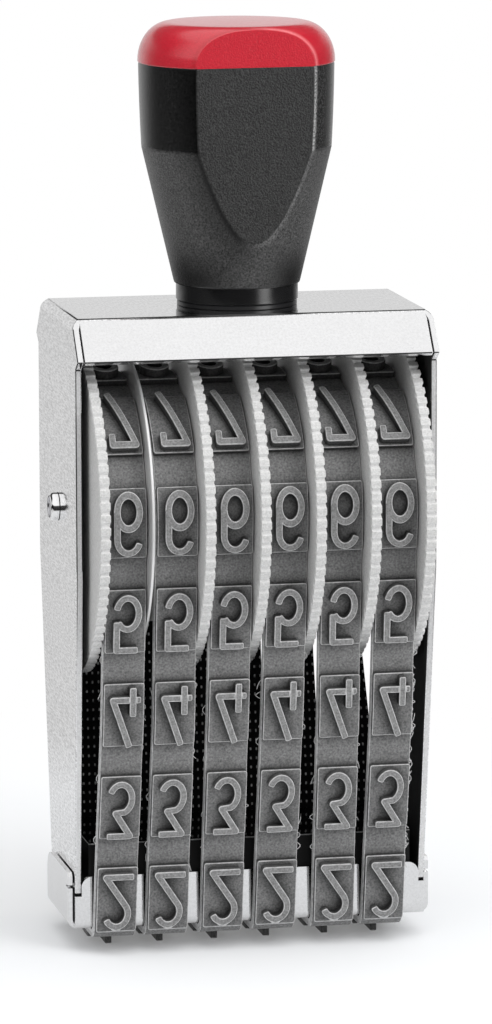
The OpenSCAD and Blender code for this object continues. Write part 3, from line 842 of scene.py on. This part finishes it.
def gripMaterial(low, seam, axis):
    # painted light and shade in zones by distance to the flats, by height and by side, blended softly
    tones = gripTones
    material, tree, shader = newMaterial("gripPlastic", tones["flatRough"])
    place = objectMm(tree)
    x, _, z = separate(tree, place)
    gap = flatGap(tree, place, seam, axis)
    onFlat = ramp(tree, gap, *tones["edge"], 0, 1)
    outline = ramp(tree, gap, *tones["outline"], 0, 1)
    halo = ramp(tree, gap, *tones["haloFrom"], 0, tones["halo"])
    breakHeight = low + handleShape["lipHeight"] + handleShape["coneHeight"]
    above = ramp(tree, z, breakHeight - tones["coneBreak"], breakHeight + tones["coneBreak"], 0, 1)
    start, end = tones["lowCorner"]
    lowness = ramp(tree, z, low + start, low + end, 1, 0)
    aside = ramp(tree, mathNode(tree, "ABSOLUTE", x), *tones["aside"], 0, 1)
    onRight = ramp(tree, x, *tones["toRight"], 0, 1)
    cone = mixNumber(tree, times(tree, lowness, aside), tones["cone"], tones["coneLow"])
    sides = mixNumber(tree, onRight, tones["side"], tones["sideRight"])
    base = mixNumber(tree, above, cone, sides)
    base = mixNumber(tree, times(tree, halo, oneMinus(tree, onRight)), base, 0.0)
    rightTone = mixNumber(tree, above, tones["rightLow"], tones["right"])
    border = mixNumber(tree, onRight, tones["left"], rightTone)
    base = mixNumber(tree, onFlat, mixNumber(tree, outline, base, border), tones["flat"])
    speckled = placeEffect(tree, grain, {"Colour": greyColour(tree, base), "Size": tones["grain"],
                                         "Contrast": tones["contrast"], "Patches": tones["patches"]})
    tree.links.new(speckled["Colour"], shader.inputs["Base Color"])
    polished = times(tree, above, oneMinus(tree, onFlat))
    rough = mixNumber(tree, polished, tones["flatRough"], tones["sideRough"])
    tree.links.new(rough, shader.inputs["Roughness"])
    height = times(tree, speckled["Height"], mixNumber(tree, polished, 1.0, tones["sideBump"]))
    bumpFrom(tree, shader, height, tones["depth"])
    return material


# left and right are the painted shade and painted highlight tones of the flats' borders
capTones = {
    "red": (0.54, 0.016, 0.032),
    "left": (0.46, 0.01, 0.022),
    "right": (0.78, 0.16, 0.18),
    "rough": 0.27,
    "coat": 0.72,
    "grain": 0.42,
    "contrast": 0.5,
    "patches": 0.1,
    "sandy": 1.0,
    "sandyFrom": (-0.7, -0.3),
    "depth": 0.08,
}


def capMaterial(seam, top, axis):
    # red plastic with a sandy top; the flats have a painted shade border on the left and a painted highlight
    # border on the right
    tones = capTones
    material, tree, shader = newMaterial("capPlastic", tones["rough"])
    shader.inputs["Coat Weight"].default_value = tones["coat"]
    place = objectMm(tree)
    x, _, z = separate(tree, place)
    gap = flatGap(tree, place, seam, axis)
    border = mathNode(tree, "SUBTRACT", ramp(tree, gap, *gripTones["outline"], 0, 1),
                      ramp(tree, gap, *gripTones["edge"], 0, 1))
    onRight = ramp(tree, x, *gripTones["toRight"], 0, 1)
    red = mixColour(tree, border, tones["red"], mixColour(tree, onRight, tones["left"], tones["right"]))
    start, end = tones["sandyFrom"]
    onTop = ramp(tree, z, top + start, top + end, 0, 1)
    contrast = mixNumber(tree, onTop, tones["contrast"], tones["sandy"])
    speckled = placeEffect(tree, grain, {"Colour": red, "Size": tones["grain"], "Patches": tones["patches"],
                                         "Contrast": contrast})
    tree.links.new(speckled["Colour"], shader.inputs["Base Color"])
    bumpFrom(tree, shader, speckled["Height"], tones["depth"])
    return material


def cutFlats(bm, seam):
    for side in (0, 180):
        place, facing = flatPlane(side, seam)
        cut = bmesh.ops.bisect_plane(bm, geom=bm.verts[:] + bm.edges[:] + bm.faces[:], plane_co=place,
                                     plane_no=facing, clear_outer=True, dist=0.0001)
        rim = only(cut["geom_cut"], bmesh.types.BMEdge)
        bmesh.ops.edgeloop_fill(bm, edges=rim)
        faceOut(bm)
        border = [edge for edge in rim if edge.is_valid and edge.calc_face_angle(0) > math.radians(2)]
        bevelEdges(bm, border, handleShape["flatRound"], 3)


def gripOutline(low, seam):
    shape = handleShape
    neck = shape["neckRadius"]
    wide = shape["coneTop"]
    lip = low + shape["lipHeight"]
    coneTop = lip + shape["coneHeight"]
    slope = (wide - shape["coneLow"]) / shape["coneHeight"]
    flare = (shape["gripTop"] - wide) / (seam - coneTop)
    foot = [(0, low), (neck - 0.3, low), (neck, low + 0.3), (neck, lip - 0.5),
            (shape["coneLow"] - 0.1, lip - 0.2)]
    cone = [(shape["coneLow"] + slope * d, lip + d) for d in shape["coneRings"]]
    breakRound = [(wide - slope * 1.6, coneTop - 1.6), (wide - 0.09, coneTop - 0.4), (wide, coneTop + 0.5),
                  (wide + flare * 1.8, coneTop + 1.8)]
    upper = [(wide + flare * d + shape["swell"] * math.sin(math.pi * d / (seam - coneTop)), coneTop + d)
             for d in shape["upperRings"]]
    end = [(shape["gripTop"] - 0.03, seam - 0.5), (shape["gripTop"] - 0.15, seam), (0, seam)]
    return [*foot, *cone, *breakRound, *upper, *end]


def capOutline(seam, top):
    shape = handleShape
    radius = shape["gripTop"] + shape["capProud"]
    roll = shape["capRoll"]
    start = seam + shape["capTopRound"]
    rollHeight = top - shape["capDome"] - start
    edge = radius - roll
    arc = [(edge + roll * math.cos(math.radians(a)), start + rollHeight * math.sin(math.radians(a)))
           for a in range(7, 85, 7)]
    dome = [(edge * k, top - shape["capDome"] * k * k) for k in (0.96, 0.7, 0.4)]
    return [(0, seam), (radius - 0.25, seam), (radius, seam + 0.25), *arc, *dome, (0, top)]


def turnGrip(low, seam, axis):
    grip = lathe(gripOutline(low, seam), handleShape["steps"])
    cutFlats(grip, seam)
    for face in grip.faces:
        # the neck below the cone is polished
        face.material_index = 1 if face.calc_center_median().z < low + handleShape["lipHeight"] else 0
    turnAndMove(grip, move=axis)
    finishPiece("grip_body", grip, [gripMaterial(low, seam, axis), gripNeck], "handle_body",
                handleShape["smoothBelow"])


def turnCap(seam, axis):
    top = boxMm("handle_cap")[1].z
    cap = lathe(capOutline(seam, top), handleShape["steps"])
    cutFlats(cap, seam)
    turnAndMove(cap, move=axis)
    finishPiece("grip_cap", cap, [capMaterial(seam, top, axis)], "handle_cap",
                handleShape["smoothBelow"])


def turnRing(axis):
    low, high = boxMm("handle_base_ring")
    radius = (high.x - low.x) / 2
    bore = handleShape["ringBore"]
    ring = lathe([(bore, low.z), (radius - 0.2, low.z), (radius, low.z + 0.2), (radius, high.z - 0.25),
                  (radius - 0.25, high.z), (bore, high.z)], closed=True)
    turnAndMove(ring, move=axis)
    finishPiece("grip_ring", ring, [ringPlastic], "handle_base_ring")


def buildHandle():
    low, high = boxMm("handle_body")
    axis = (middleMm("handle_base_ring", 0), 0, 0)
    turnGrip(low.z, high.z, axis)
    turnCap(high.z, axis)
    turnRing(axis)


buildHandle()
print("handle ready")


wheelShape = {
    "drum": 30.2,
    "drumWall": 2.4,
    "rim": 2.6,
    "teeth": 84,
    "toothHeight": 0.8,
    "tipShare": 0.28,
    "rootShare": 0.42,
    "valleySlope": 0.4,
    "crown": 0.7,
    "hub": 7.5,
    "hubProud": 0.4,
    "drumBack": 0.5,
    "bore": 3.05,
    "ribs": 6,
    "ribThickness": 1.8,
    "ribBack": 3,
    "ribRound": 0.25,
    "rounding": 0.3,
    "creaseFrom": 22,
    "smoothBelow": 50,
}


def toothRing(bm, tipRadius, baseRadius):
    # carries both open rims out to the toothed outline, then closes the crown
    teeth = wheelShape["teeth"]
    step = 2 * math.pi / teeth
    rootRadius = tipRadius - wheelShape["toothHeight"]
    corners = [(-wheelShape["rootShare"], rootRadius), (-wheelShape["tipShare"], tipRadius),
               (wheelShape["tipShare"], tipRadius), (wheelShape["rootShare"], rootRadius)]
    grown = bmesh.ops.extrude_edge_only(bm, edges=[edge for edge in bm.edges if edge.is_boundary])["geom"]
    for vert in only(grown, bmesh.types.BMVert):
        place = round(math.atan2(vert.co.y, vert.co.x) / step * 4) % (4 * teeth)
        share, radius = corners[place % 4]
        angle = (place // 4 + share) * step
        vert.co.x, vert.co.y = radius * math.cos(angle), radius * math.sin(angle)
        if radius < tipRadius:
            # the valleys run out in a slope at both ends
            vert.co.z += wheelShape["valleySlope"] * (1 if vert.co.z < wheelShape["rim"] / 2 else -1)
    rims = [edge for edge in only(grown, bmesh.types.BMEdge) if edge.is_boundary]
    bmesh.ops.bridge_loops(bm, edges=rims)
    faceOut(bm)


def wheelOutline(base, inner, width):
    # the closed section of a wheel apart from its crown, from one open rim to the other
    shape = wheelShape
    hub = shape["hub"]
    bore = shape["bore"]
    rim = shape["rim"]
    hubLow = -shape["hubProud"]
    hubHigh = width - shape["hubProud"]
    drumHigh = width - shape["drumBack"]
    return [(base, 0), (hub, 0), (hub, hubLow), (bore, hubLow), (bore, hubHigh), (hub, hubHigh), (hub, rim),
            (inner, rim), (inner, drumHigh), (shape["drum"], drumHigh), (shape["drum"], rim), (base, rim)]


def wheelRib(index, inner, width):
    shape = wheelShape
    length = width - shape["rim"] - shape["ribBack"]
    rib = bmesh.new()
    addMarks(rib)
    bmesh.ops.create_cube(rib, size=1)
    bmesh.ops.scale(rib, vec=(inner - shape["hub"] + 1, shape["ribThickness"], length), verts=rib.verts)
    bevelEdges(rib, creases(rib, 30), shape["ribRound"], 1)
    turnAndMove(rib, move=((inner + shape["hub"]) / 2, 0, shape["rim"] + length / 2 - 0.3))
    turnAndMove(rib, Matrix.Rotation(2 * math.pi * index / shape["ribs"], 4, "Z"))
    return rib


def wheelSolid(width, tipRadius):
    shape = wheelShape
    base = tipRadius - shape["toothHeight"] - shape["crown"]
    inner = shape["drum"] - shape["drumWall"]
    bm = lathe(wheelOutline(base, inner, width), 4 * shape["teeth"])
    toothRing(bm, tipRadius, base)
    addMarks(bm)
    # the rounded edges are drawn lighter, partly wear and partly painted highlight
    markFaces(bm, "edge", bevelEdges(bm, creases(bm, shape["creaseFrom"]), shape["rounding"]))
    bm.normal_update()
    valley = tipRadius - 0.45 * shape["toothHeight"]
    low = [face for face in bm.faces if abs(face.normal.z) < 0.5
           and valley > face.calc_center_median().xy.length > base + 0.2]
    # painted light: the valleys are painted as bright as the teeth, over the shade that falls in them
    markFaces(bm, "edge", low, 0.0)
    markFaces(bm, "face", low)
    for index in range(shape["ribs"]):
        addTo(bm, wheelRib(index, inner, width))
    return bm


def buildWheels():
    for number in range(1, 7):
        node = f"number_wheel_{number}"
        low, high = boxMm(node)
        side = 1 if number == 1 else -1  # the first wheel has its rim on the left
        face = low.x + wheelShape["hubProud"] if side > 0 else high.x - wheelShape["hubProud"]
        bm = wheelSolid(high.x - low.x, (high.z - low.z) / 2)
        layAcross(bm, face, side)
        finishPiece(f"thumb_wheel_{number}", bm, [wheelPlastic], node,
                    wheelShape["smoothBelow"], f"wheel_{number}")


buildWheels()
print("wheels ready")


fittingShape = {"bore": 3.05, "seam": 0.14, "capSteps": 64, "rodBack": 0.15, "discRim": 0.7, "discHub": 6,
                "discSteps": 240}


def turnCaps():
    low, high = boxMm("axle_caps")
    plate = sizeMm("frame", 0) / 2
    radius = (high.z - low.z) / 2
    reach = high.x - plate
    bore = fittingShape["bore"]
    outline = [(bore, 0), (radius, 0), (radius, fittingShape["seam"]), (radius, reach - 0.9),
               (radius - 0.25, reach - 0.35), (radius - 0.8, reach), (bore, reach)]
    caps = bmesh.new()
    for side in (-1, 1):
        head = lathe(outline, fittingShape["capSteps"], closed=True)
        layAcross(head, side * plate, side)
        head.normal_update()
        for face in head.faces:
            # painted shade: a dark band where the fitting meets the plate
            face.material_index = 1 if abs(face.calc_center_median().x) < plate + 0.1 else 0
        addTo(caps, head)
    finishPiece("axle_bushes", caps, [platedFittings, paintedDarkLine], "axle_caps")


def turnRod():
    length = boxMm("axle_caps")[1].x - fittingShape["rodBack"]
    radius = sizeMm("axle", 2) / 2
    upper = [(radius, length - 0.9), (radius - 0.15, length - 0.55), (radius * 0.55, length - 0.12),
             (0, length)]
    lower = [(r, -height) for r, height in reversed(upper)]
    rod = lathe(lower + upper, fittingShape["capSteps"])
    layAcross(rod, 0)
    finishPiece("axle_rod", rod, [turnedSteel], "axle")


def turnDisc():
    low, high = boxMm("separator_disc")
    radius = (high.z - low.z) / 2
    rim = fittingShape["discRim"]
    bore = fittingShape["bore"]
    hub = fittingShape["discHub"]
    thickness = high.x - low.x
    outline = [(bore, 0), (radius - 0.15, 0), (radius, 0.15), (radius, rim - 0.15), (radius - 0.15, rim),
               (hub, rim), (hub, thickness), (bore, thickness)]
    disc = lathe(outline, fittingShape["discSteps"], closed=True)
    layAcross(disc, low.x)
    finishPiece("parting_disc", disc, [brightDisc], "separator_disc")


turnCaps()
turnRod()
turnDisc()
for node in ("handle_screw", "handle_washer", "axle_washers"):
    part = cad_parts[node]
    part.data.materials.clear()
    part.data.materials.append(turnedSteel)
print("fittings ready")


bandShape = {
    "wrapRadius": 30.5,
    "turnRadius": 2.5,
    "turnHalf": 15.7,
    "carrier": 0.9,
    "rubber": 1.2,
    "pad": 1.5,
    "figure": 2.3,
    "padLength": 16.6,
    "padInset": 0.2,
    "places": 14,
    "firstPlace": 1.1,
    "padCorner": 0.5,
    "padEdge": 0.22,
    "figureEdge": 0.24,
    "creaseFrom": 60,
    "stroke": 1.7,
    "endRound": 0.42,
    "sharpTurn": 50,
    "sunk": 0.3,
    "turnStep": 0.36,
    "bottomStep": 5.0,
    "runStep": 4.0,
    "drumStep": 1.6,
    "smoothBelow": 50,
}
# how far some places sit past their even spacing along a band, and some figures off their pad's middle
placeShift = {1: 1.4, 2: 0.87, 3: 0.55, 4: 0.35, 5: 0.34}
figureAside = {1: -0.6, 2: -0.45, 3: -0.35, 5: 0.15}
# sideways wander of each band's front and rear run at the heights above
frontHeights = (0, 26, 61, 88)
frontDrift = {
    1: (-1.2, -0.8, 0.0, 0.0),
    2: (-0.85, -0.53, 0.13, 0.0),
    3: (-0.65, -0.48, -0.1, 0.0),
    4: (-1.1, -0.78, -0.1, 0.0),
    5: (0.2, 0.23, 0.34, 0.0),
    6: (-0.95, -0.62, 0.06, 0.0),
}
rearHeights = (0, 50, 72, 88)
rearDrift = {
    1: (-0.4, -0.4, -0.4, 0.0),
    2: (0.2, 0.2, 0.2, 0.0),
    3: (-0.3, -0.3, -0.3, 0.0),
    4: (-0.2, -0.2, -0.2, 0.0),
    5: (0.5, 0.2, -0.45, -0.1),
    6: (0.5, 0.1, -1.7, -0.2),
}


def loopSizes():
    # the band's path: a flat bottom, two turns, two straight runs and the arc over the drum
    shape = bandShape
    floorZ = shape["carrier"] + shape["rubber"] + shape["pad"] + shape["figure"] + boxMm("number_band_1")[0].z
    axleZ = middleMm("axle", 2)
    turnZ = floorZ + shape["turnRadius"]
    centres = math.hypot(shape["turnHalf"], axleZ - turnZ)
    lean = math.acos((shape["turnRadius"] - shape["wrapRadius"]) / centres) - math.atan2(
        axleZ - turnZ, -shape["turnHalf"])
    neutral = shape["carrier"] / 2
    turnLength = (shape["turnRadius"] + neutral) * (math.pi / 2 - lean)
    runLength = math.sqrt(centres ** 2 - (shape["wrapRadius"] - shape["turnRadius"]) ** 2)
    wrapLength = (shape["wrapRadius"] + neutral) * (math.pi / 2 + lean)
    turnEnd = shape["turnHalf"] + turnLength
    runEnd = turnEnd + runLength
    return {"floorZ": floorZ, "axleZ": axleZ, "turnZ": turnZ, "lean": lean, "neutral": neutral,
            "turnEnd": turnEnd, "runEnd": runEnd, "half": runEnd + wrapLength}


loop = loopSizes()
placePitch = 2 * loop["half"] / bandShape["places"]


def frontPoint(s):
    # (y, z, direction of the outward normal) at distance s from the lowest point, on the front half
    shape = bandShape
    if s < shape["turnHalf"]:
        return -s, loop["floorZ"], -math.pi / 2
    if s < loop["turnEnd"]:
        a = -math.pi / 2 - (s - shape["turnHalf"]) / (shape["turnRadius"] + loop["neutral"])
        return (-shape["turnHalf"] + shape["turnRadius"] * math.cos(a),
                loop["turnZ"] + shape["turnRadius"] * math.sin(a), a)
    if s < loop["runEnd"]:
        a = loop["lean"] - math.pi
        d = s - loop["turnEnd"]
        return (-shape["turnHalf"] + shape["turnRadius"] * math.cos(a) + d * math.sin(a),
                loop["turnZ"] + shape["turnRadius"] * math.sin(a) - d * math.cos(a), a)
    a = loop["lean"] - math.pi - (s - loop["runEnd"]) / (shape["wrapRadius"] + loop["neutral"])
    return shape["wrapRadius"] * math.cos(a), loop["axleZ"] + shape["wrapRadius"] * math.sin(a), a


def loopPoint(s):
    # the same all the way round; the rear half mirrors the front
    total = 2 * loop["half"]
    s = (s + loop["half"]) % total - loop["half"]
    y, z, a = frontPoint(abs(s))
    return (-y, z, math.pi - a) if s < 0 else (y, z, a)


def bandCuts():
    # where every layer of a band is divided, so that all layers bend at the same lines
    front = [0]
    stretches = ((bandShape["turnHalf"], bandShape["bottomStep"]), (loop["turnEnd"], bandShape["turnStep"]),
                 (loop["runEnd"], bandShape["runStep"]), (loop["half"], bandShape["drumStep"]))
    for end, step in stretches:
        start = front[-1]
        count = math.ceil((end - start) / step)
        front += [start + (end - start) * k / count for k in range(1, count + 1)]
    rear = [2 * loop["half"] - s for s in reversed(front[1:-1])]
    return front + rear


cuts = bandCuts()


def divideAlong(bm, offset=0.0):
    low = min(vert.co.y for vert in bm.verts) + offset
    high = max(vert.co.y for vert in bm.verts) + offset
    total = 2 * loop["half"]
    for turn in (-total, 0, total):
        for s in cuts:
            if low + 0.01 < s + turn < high - 0.01:
                bmesh.ops.bisect_plane(bm, geom=bm.verts[:] + bm.edges[:] + bm.faces[:],
                                       plane_co=(0, s + turn - offset, 0), plane_no=(0, 1, 0), dist=0.0001)


def arcPath(centre, radii, start, stop, step=11):
    count = max(2, round(abs(stop - start) / step))
    turns = [math.radians(start + (stop - start) * k / count) for k in range(count + 1)]
    return [(centre[0] + radii[0] * math.cos(a), centre[1] + radii[1] * math.sin(a)) for a in turns]


def ringPath(centre, radii):
    return arcPath(centre, radii, 0, 349)


# The figures as they stand on a band, seen from outside with the print's top downward:
# each is a list of strokes, a stroke being its middle line and whether it closes on itself
def figureStrokes():
    bowl = (2.87, 3.64)
    six = [(ringPath((-0.05, 2.9), bowl), True),
           ([(-2.92, 2.9), *arcPath((-0.02, -2.85), (2.9, 3.67), 180, 343)], False)]
    nine = [([(-x, -y) for x, y in path], closed) for path, closed in six]
    return {
        0: [([(0.4, 7.4), (0.4, -7.4)], False), ([(0.4, -6.3), (-2.3, -3.6)], False)],
        1: [([(4.45, 6.4), (-2.79, 6.4), *arcPath((0.19, -3.5), (2.92, 3.4), 34, -155)], False)],
        2: [([*arcPath((0.08, 2.95), (2.88, 3.83), 156, -68), (-1.13, -0.88), (2.74, -6.98), (-3.2, -6.98)],
             False)],
        3: [([(4.3, 4.55), (-2.87, 4.55), (1.58, -7.94)], False), ([(2.27, 7.77), (2.27, 0.1)], False)],
        4: [(arcPath((0.17, 2.63), (2.85, 4.08), 166, -148), False),
            ([(-2.56, 0.51), (-2.56, -6.99), (2.88, -6.99)], False)],
        5: six,
        6: [([(-2.69, -4.04), (-2.69, -6.75), (3.25, -6.75), (-2.25, 7.5)], False)],
        7: [(ringPath((0, 3.4), (2.87, 3.45)), True), (ringPath((0, -3.4), (2.87, 3.45)), True)],
        8: nine,
        9: [(ringPath((0, 0), (2.87, 6.5)), True)],
        10: [([(-2.9, 0), (2.9, 0)], False)],
        11: [([(0, 7.4), (0, 5.5)], False)],
        12: [([(-2.9, 6.6), (2.9, -6.6)], False)],
    }


def strokeSides(path, closed, width, steps=5):
    # the two edges of a stroke: mitred at slight turns, round outside and mitred inside at sharp ones
    half = width / 2
    points = [Vector(p) for p in path]
    sides = []
    for i, point in enumerate(points):
        before = points[i - 1] if i > 0 or closed else None
        after = points[(i + 1) % len(points)] if i < len(points) - 1 or closed else None
        a = (point - before).normalized() if before else (after - point).normalized()
        b = (after - point).normalized() if after else a
        turn = a.angle_signed(b)
        a, b = Vector((-a.y, a.x)), Vector((-b.y, b.x))
        mitre = (a + b) / (1 + a.dot(b)) * half
        if abs(math.degrees(turn)) < bandShape["sharpTurn"]:
            sides.append((point + mitre, point - mitre))
            continue
        # angle_signed is positive clockwise, so the outside lies to the left of the path
        outside = 1 if turn > 0 else -1
        inner = point - mitre * outside
        for k in range(steps + 1):
            normal = a.copy()
            normal.rotate(Matrix.Rotation(-turn * k / steps, 2))
            outer = point + normal * half * outside
            sides.append((outer, inner) if outside > 0 else (inner, outer))
    return sides


def strokeSolid(path, closed, height, width):
    # a strip drawn out along the path, then thickened
    bm = bmesh.new()
    sides = strokeSides(path, closed, width)
    if closed:
        sides.append(sides[0])
    pair = [bm.verts.new((*side, 0)) for side in sides[0]]
    edge = bm.edges.new(pair)
    for places in sides[1:]:
        grown = bmesh.ops.extrude_edge_only(bm, edges=[edge])
        edge = only(grown["geom"], bmesh.types.BMEdge)[0]
        fresh = [next(e.other_vert(old) for e in old.link_edges if e.other_vert(old) in edge.verts)
                 for old in pair]
        for vert, place in zip(fresh, places):
            vert.co = (*place, 0)
        pair = fresh
    bmesh.ops.remove_doubles(bm, verts=bm.verts, dist=0.001)
    faceOut(bm)
    bmesh.ops.solidify(bm, geom=bm.faces[:], thickness=height)
    turnAndMove(bm, move=(0, 0, -min(vert.co.z for vert in bm.verts)))
    faceOut(bm)
    return bm


def joinSolids(solids):
    # one solid out of strokes that cross or touch
    things = []
    for solid in solids:
        mesh = bpy.data.meshes.new("stroke")
        solid.to_mesh(mesh)
        solid.free()
        thing = bpy.data.objects.new("stroke", mesh)
        bpy.context.collection.objects.link(thing)
        things.append(thing)
    for other in things[1:]:
        union = things[0].modifiers.new("union", "BOOLEAN")
        union.operation = "UNION"
        union.solver = "EXACT"
        union.object = other
    bpy.context.view_layer.update()
    whole = bmesh.new()
    whole.from_object(things[0], bpy.context.evaluated_depsgraph_get())
    for thing in things:
        mesh = thing.data
        bpy.data.objects.remove(thing)
        bpy.data.meshes.remove(mesh)
    return whole


def roundRim(bm, height, width, topMark, topValue=1.0, clamp=True):
    # rounds the upper rim of a raised solid and marks its rim, its top and its flanks, which take painted
    # shade
    rim = [edge for edge in creases(bm, bandShape["creaseFrom"])
           if all(vert.co.z > height - 0.01 for vert in edge.verts)]
    rounded = bevelEdges(bm, rim, width, clamp=clamp)
    bm.normal_update()
    markFaces(bm, "flank", [face for face in bm.faces if abs(face.normal.z) < 0.3])
    markFaces(bm, topMark, [face for face in bm.faces if face.normal.z > 0.95], topValue)
    markFaces(bm, "edge", rounded)


def shapeFigure(strokes):
    # a raised figure standing on the sunk level, with marks for its edges, face and flanks
    height = bandShape["figure"] + bandShape["sunk"]
    bm = joinSolids([strokeSolid(path, closed, height, bandShape["stroke"]) for path, closed in strokes])
    bmesh.ops.remove_doubles(bm, verts=bm.verts, dist=0.05)
    bmesh.ops.dissolve_limit(bm, angle_limit=math.radians(1), verts=bm.verts, edges=bm.edges,
                             use_dissolve_boundaries=False, delimit=set())
    addMarks(bm)
    corners = [edge for edge in creases(bm, bandShape["creaseFrom"])
               if abs(edge.verts[0].co.z - edge.verts[1].co.z) > 1 and edge.is_convex]
    bevelEdges(bm, corners, bandShape["endRound"], 3)
    roundRim(bm, height, bandShape["figureEdge"], "face", clamp=False)
    return bm


def shapePad():
    shape = bandShape
    bm = bmesh.new()
    addMarks(bm)
    bmesh.ops.create_cube(bm, size=1)
    width = sizeMm("number_band_1", 0) - 2 * shape["padInset"]
    height = shape["pad"] + shape["sunk"]
    bmesh.ops.scale(bm, vec=(width, shape["padLength"], height), verts=bm.verts)
    turnAndMove(bm, move=(0, 0, height / 2))
    upright = [edge for edge in bm.edges if abs(edge.verts[0].co.z - edge.verts[1].co.z) > 0.5]
    bevelEdges(bm, upright, shape["padCorner"])
    roundRim(bm, height, shape["padEdge"], "flank", 0.2)
    return bm


def stripAlong(outline):
    # a closed section of (across, height) points drawn out along the whole band
    bm = bmesh.new()
    addMarks(bm)
    verts = [bm.verts.new((u, cuts[0], h)) for u, h in outline]
    edges = [bm.edges.new(pair) for pair in (*zip(verts, verts[1:]), (verts[-1], verts[0]))]
    for start, end in zip(cuts, cuts[1:] + [2 * loop["half"]]):
        grown = bmesh.ops.extrude_edge_only(bm, edges=edges)
        edges = only(grown["geom"], bmesh.types.BMEdge)
        bmesh.ops.translate(bm, vec=(0, end - start, 0), verts=only(grown["geom"], bmesh.types.BMVert))
    faceOut(bm)
    if max(bm.faces, key=lambda face: face.calc_center_median().z).normal.z < 0:
        bmesh.ops.reverse_faces(bm, faces=bm.faces)
    return bm


def flatRubber():
    # the whole rubber layer laid out straight: sheet, pads and figures
    shape = bandShape
    half = sizeMm("number_band_1", 0) / 2
    top = shape["carrier"] + shape["rubber"]
    low = shape["carrier"] - 0.02
    sheet = stripAlong([(-half, low), (-half, top - 0.2), (-half + 0.2, top), (half - 0.2, top),
                        (half, top - 0.2), (half, low)])
    sheet.normal_update()
    # the sheet's sides are drawn lighter, partly wear and partly painted highlight
    markFaces(sheet, "edge", [face for face in sheet.faces if abs(face.normal.x) > 0.3])
    figures = figureStrokes()
    for place in range(shape["places"]):
        middle = shape["firstPlace"] + place * placePitch + placeShift.get(place, 0)
        pad = shapePad()
        divideAlong(pad, middle)
        turnAndMove(pad, move=(0, middle, top - shape["sunk"]))
        addTo(sheet, pad)
        if place in figures:
            figure = shapeFigure(figures[place])
            divideAlong(figure, middle)
            aside = figureAside.get(place, 0)
            turnAndMove(figure, move=(aside, middle, top + shape["pad"] - shape["sunk"]))
            addTo(sheet, figure)
    return sheet


def flatCarrier():
    half = sizeMm("number_band_1", 0) / 2
    top = bandShape["carrier"]
    carrier = stripAlong([(-half, 0), (-half, top), (half, top), (half, 0)])
    carrier.normal_update()
    layer = carrier.loops.layers.uv.new("alongBand")
    for face in carrier.faces:
        if abs(face.normal.x) > 0.5:
            face.material_index = 1
        for corner in face.loops:
            corner[layer].uv = (corner.vert.co.x, corner.vert.co.y)
    return carrier


# loose threads: how many on a band, more on the right edge of some, how far they reach out, where along the
# band they start, how long they run and their thickness
bandThreads = {
    "seed": 41,
    "count": 12,
    "more": {6: 70},
    "reach": (0.35, 1.4),
    "between": (34, 92),
    "length": (0.9, 3.6),
    "bow": 0.3,
    "thickness": 0.15,
    "bends": (0, 0.2, 0.4, 0.6, 0.8, 1),
}


def looseThreads(number):
    # short frayed ends that stick out of the carrier's cut edges below the drum
    threads = bandThreads
    luck = random.Random(threads["seed"] + number)
    half = sizeMm("number_band_1", 0) / 2
    bm = bmesh.new()
    for index in range(threads["more"].get(number, threads["count"])):
        side = 1 if number in threads["more"] else luck.choice((-1, 1))
        reach = luck.uniform(*threads["reach"]) * side
        start = luck.uniform(*threads["between"])
        length = luck.uniform(*threads["length"]) * luck.choice((-1, 1))
        bow = luck.uniform(-threads["bow"], threads["bow"])
        looped = luck.random() < 0.5
        path = []
        for k in threads["bends"]:
            out = math.sin(math.pi * k) if looped else k ** 0.7
            path.append((side * (half - 0.3) + reach * out + bow * math.sin(3 * k), start + length * k))
        thread = strokeSolid(path, False, threads["thickness"], threads["thickness"])
        divideAlong(thread)
        turnAndMove(thread, move=(0, 0, luck.uniform(0.2, bandShape["carrier"] - 0.1)))
        for face in thread.faces:
            face.material_index = 1
        addTo(bm, thread)
    return bm


def driftAt(number, s, z):
    # how far a band has wandered sideways at a height
    total = 2 * loop["half"]
    onFront = (s + loop["half"]) % total > loop["half"]
    heights, drift = (frontHeights, frontDrift) if onFront else (rearHeights, rearDrift)
    points = list(zip(heights, drift[number]))
    if z <= points[0][0]:
        return points[0][1]
    for (z1, d1), (z2, d2) in zip(points, points[1:]):
        if z < z2:
            k = (z - z1) / (z2 - z1)
            return d1 + (d2 - d1) * k
    return points[-1][1]


def wrapBand(bm, number, centre):
    # bends the straight layout around drum and bridge
    for vert in bm.verts:
        u, s, h = vert.co
        y, z, a = loopPoint(s)
        vert.co = (centre + u + driftAt(number, s, z), y + h * math.cos(a), z + h * math.sin(a))
    bmesh.ops.remove_doubles(bm, verts=[v for v in bm.verts if v.is_boundary], dist=0.001)


def storeFlat(name, bm):
    mesh = bpy.data.meshes.new(name)
    bm.to_mesh(mesh)
    bm.free()
    return mesh


def buildBands():
    rubber = storeFlat("flatRubber", flatRubber())
    carrier = storeFlat("flatCarrier", flatCarrier())
    print("flat band ready:", len(rubber.polygons), "faces")
    for number in range(1, 7):
        node = f"number_band_{number}"
        centre = middleMm(node, 0)
        for name, mesh, looks in ((f"figure_band_{number}", rubber, [figureRubber]),
                                  (f"band_carrier_{number}", carrier, [wovenCarrier, cutThreads])):
            bm = bmesh.new()
            bm.from_mesh(mesh)
            if mesh is carrier:
                addTo(bm, looseThreads(number))
            wrapBand(bm, number, centre)
            finishPiece(name, bm, looks, node, bandShape["smoothBelow"])


buildBands()
print("bands ready")
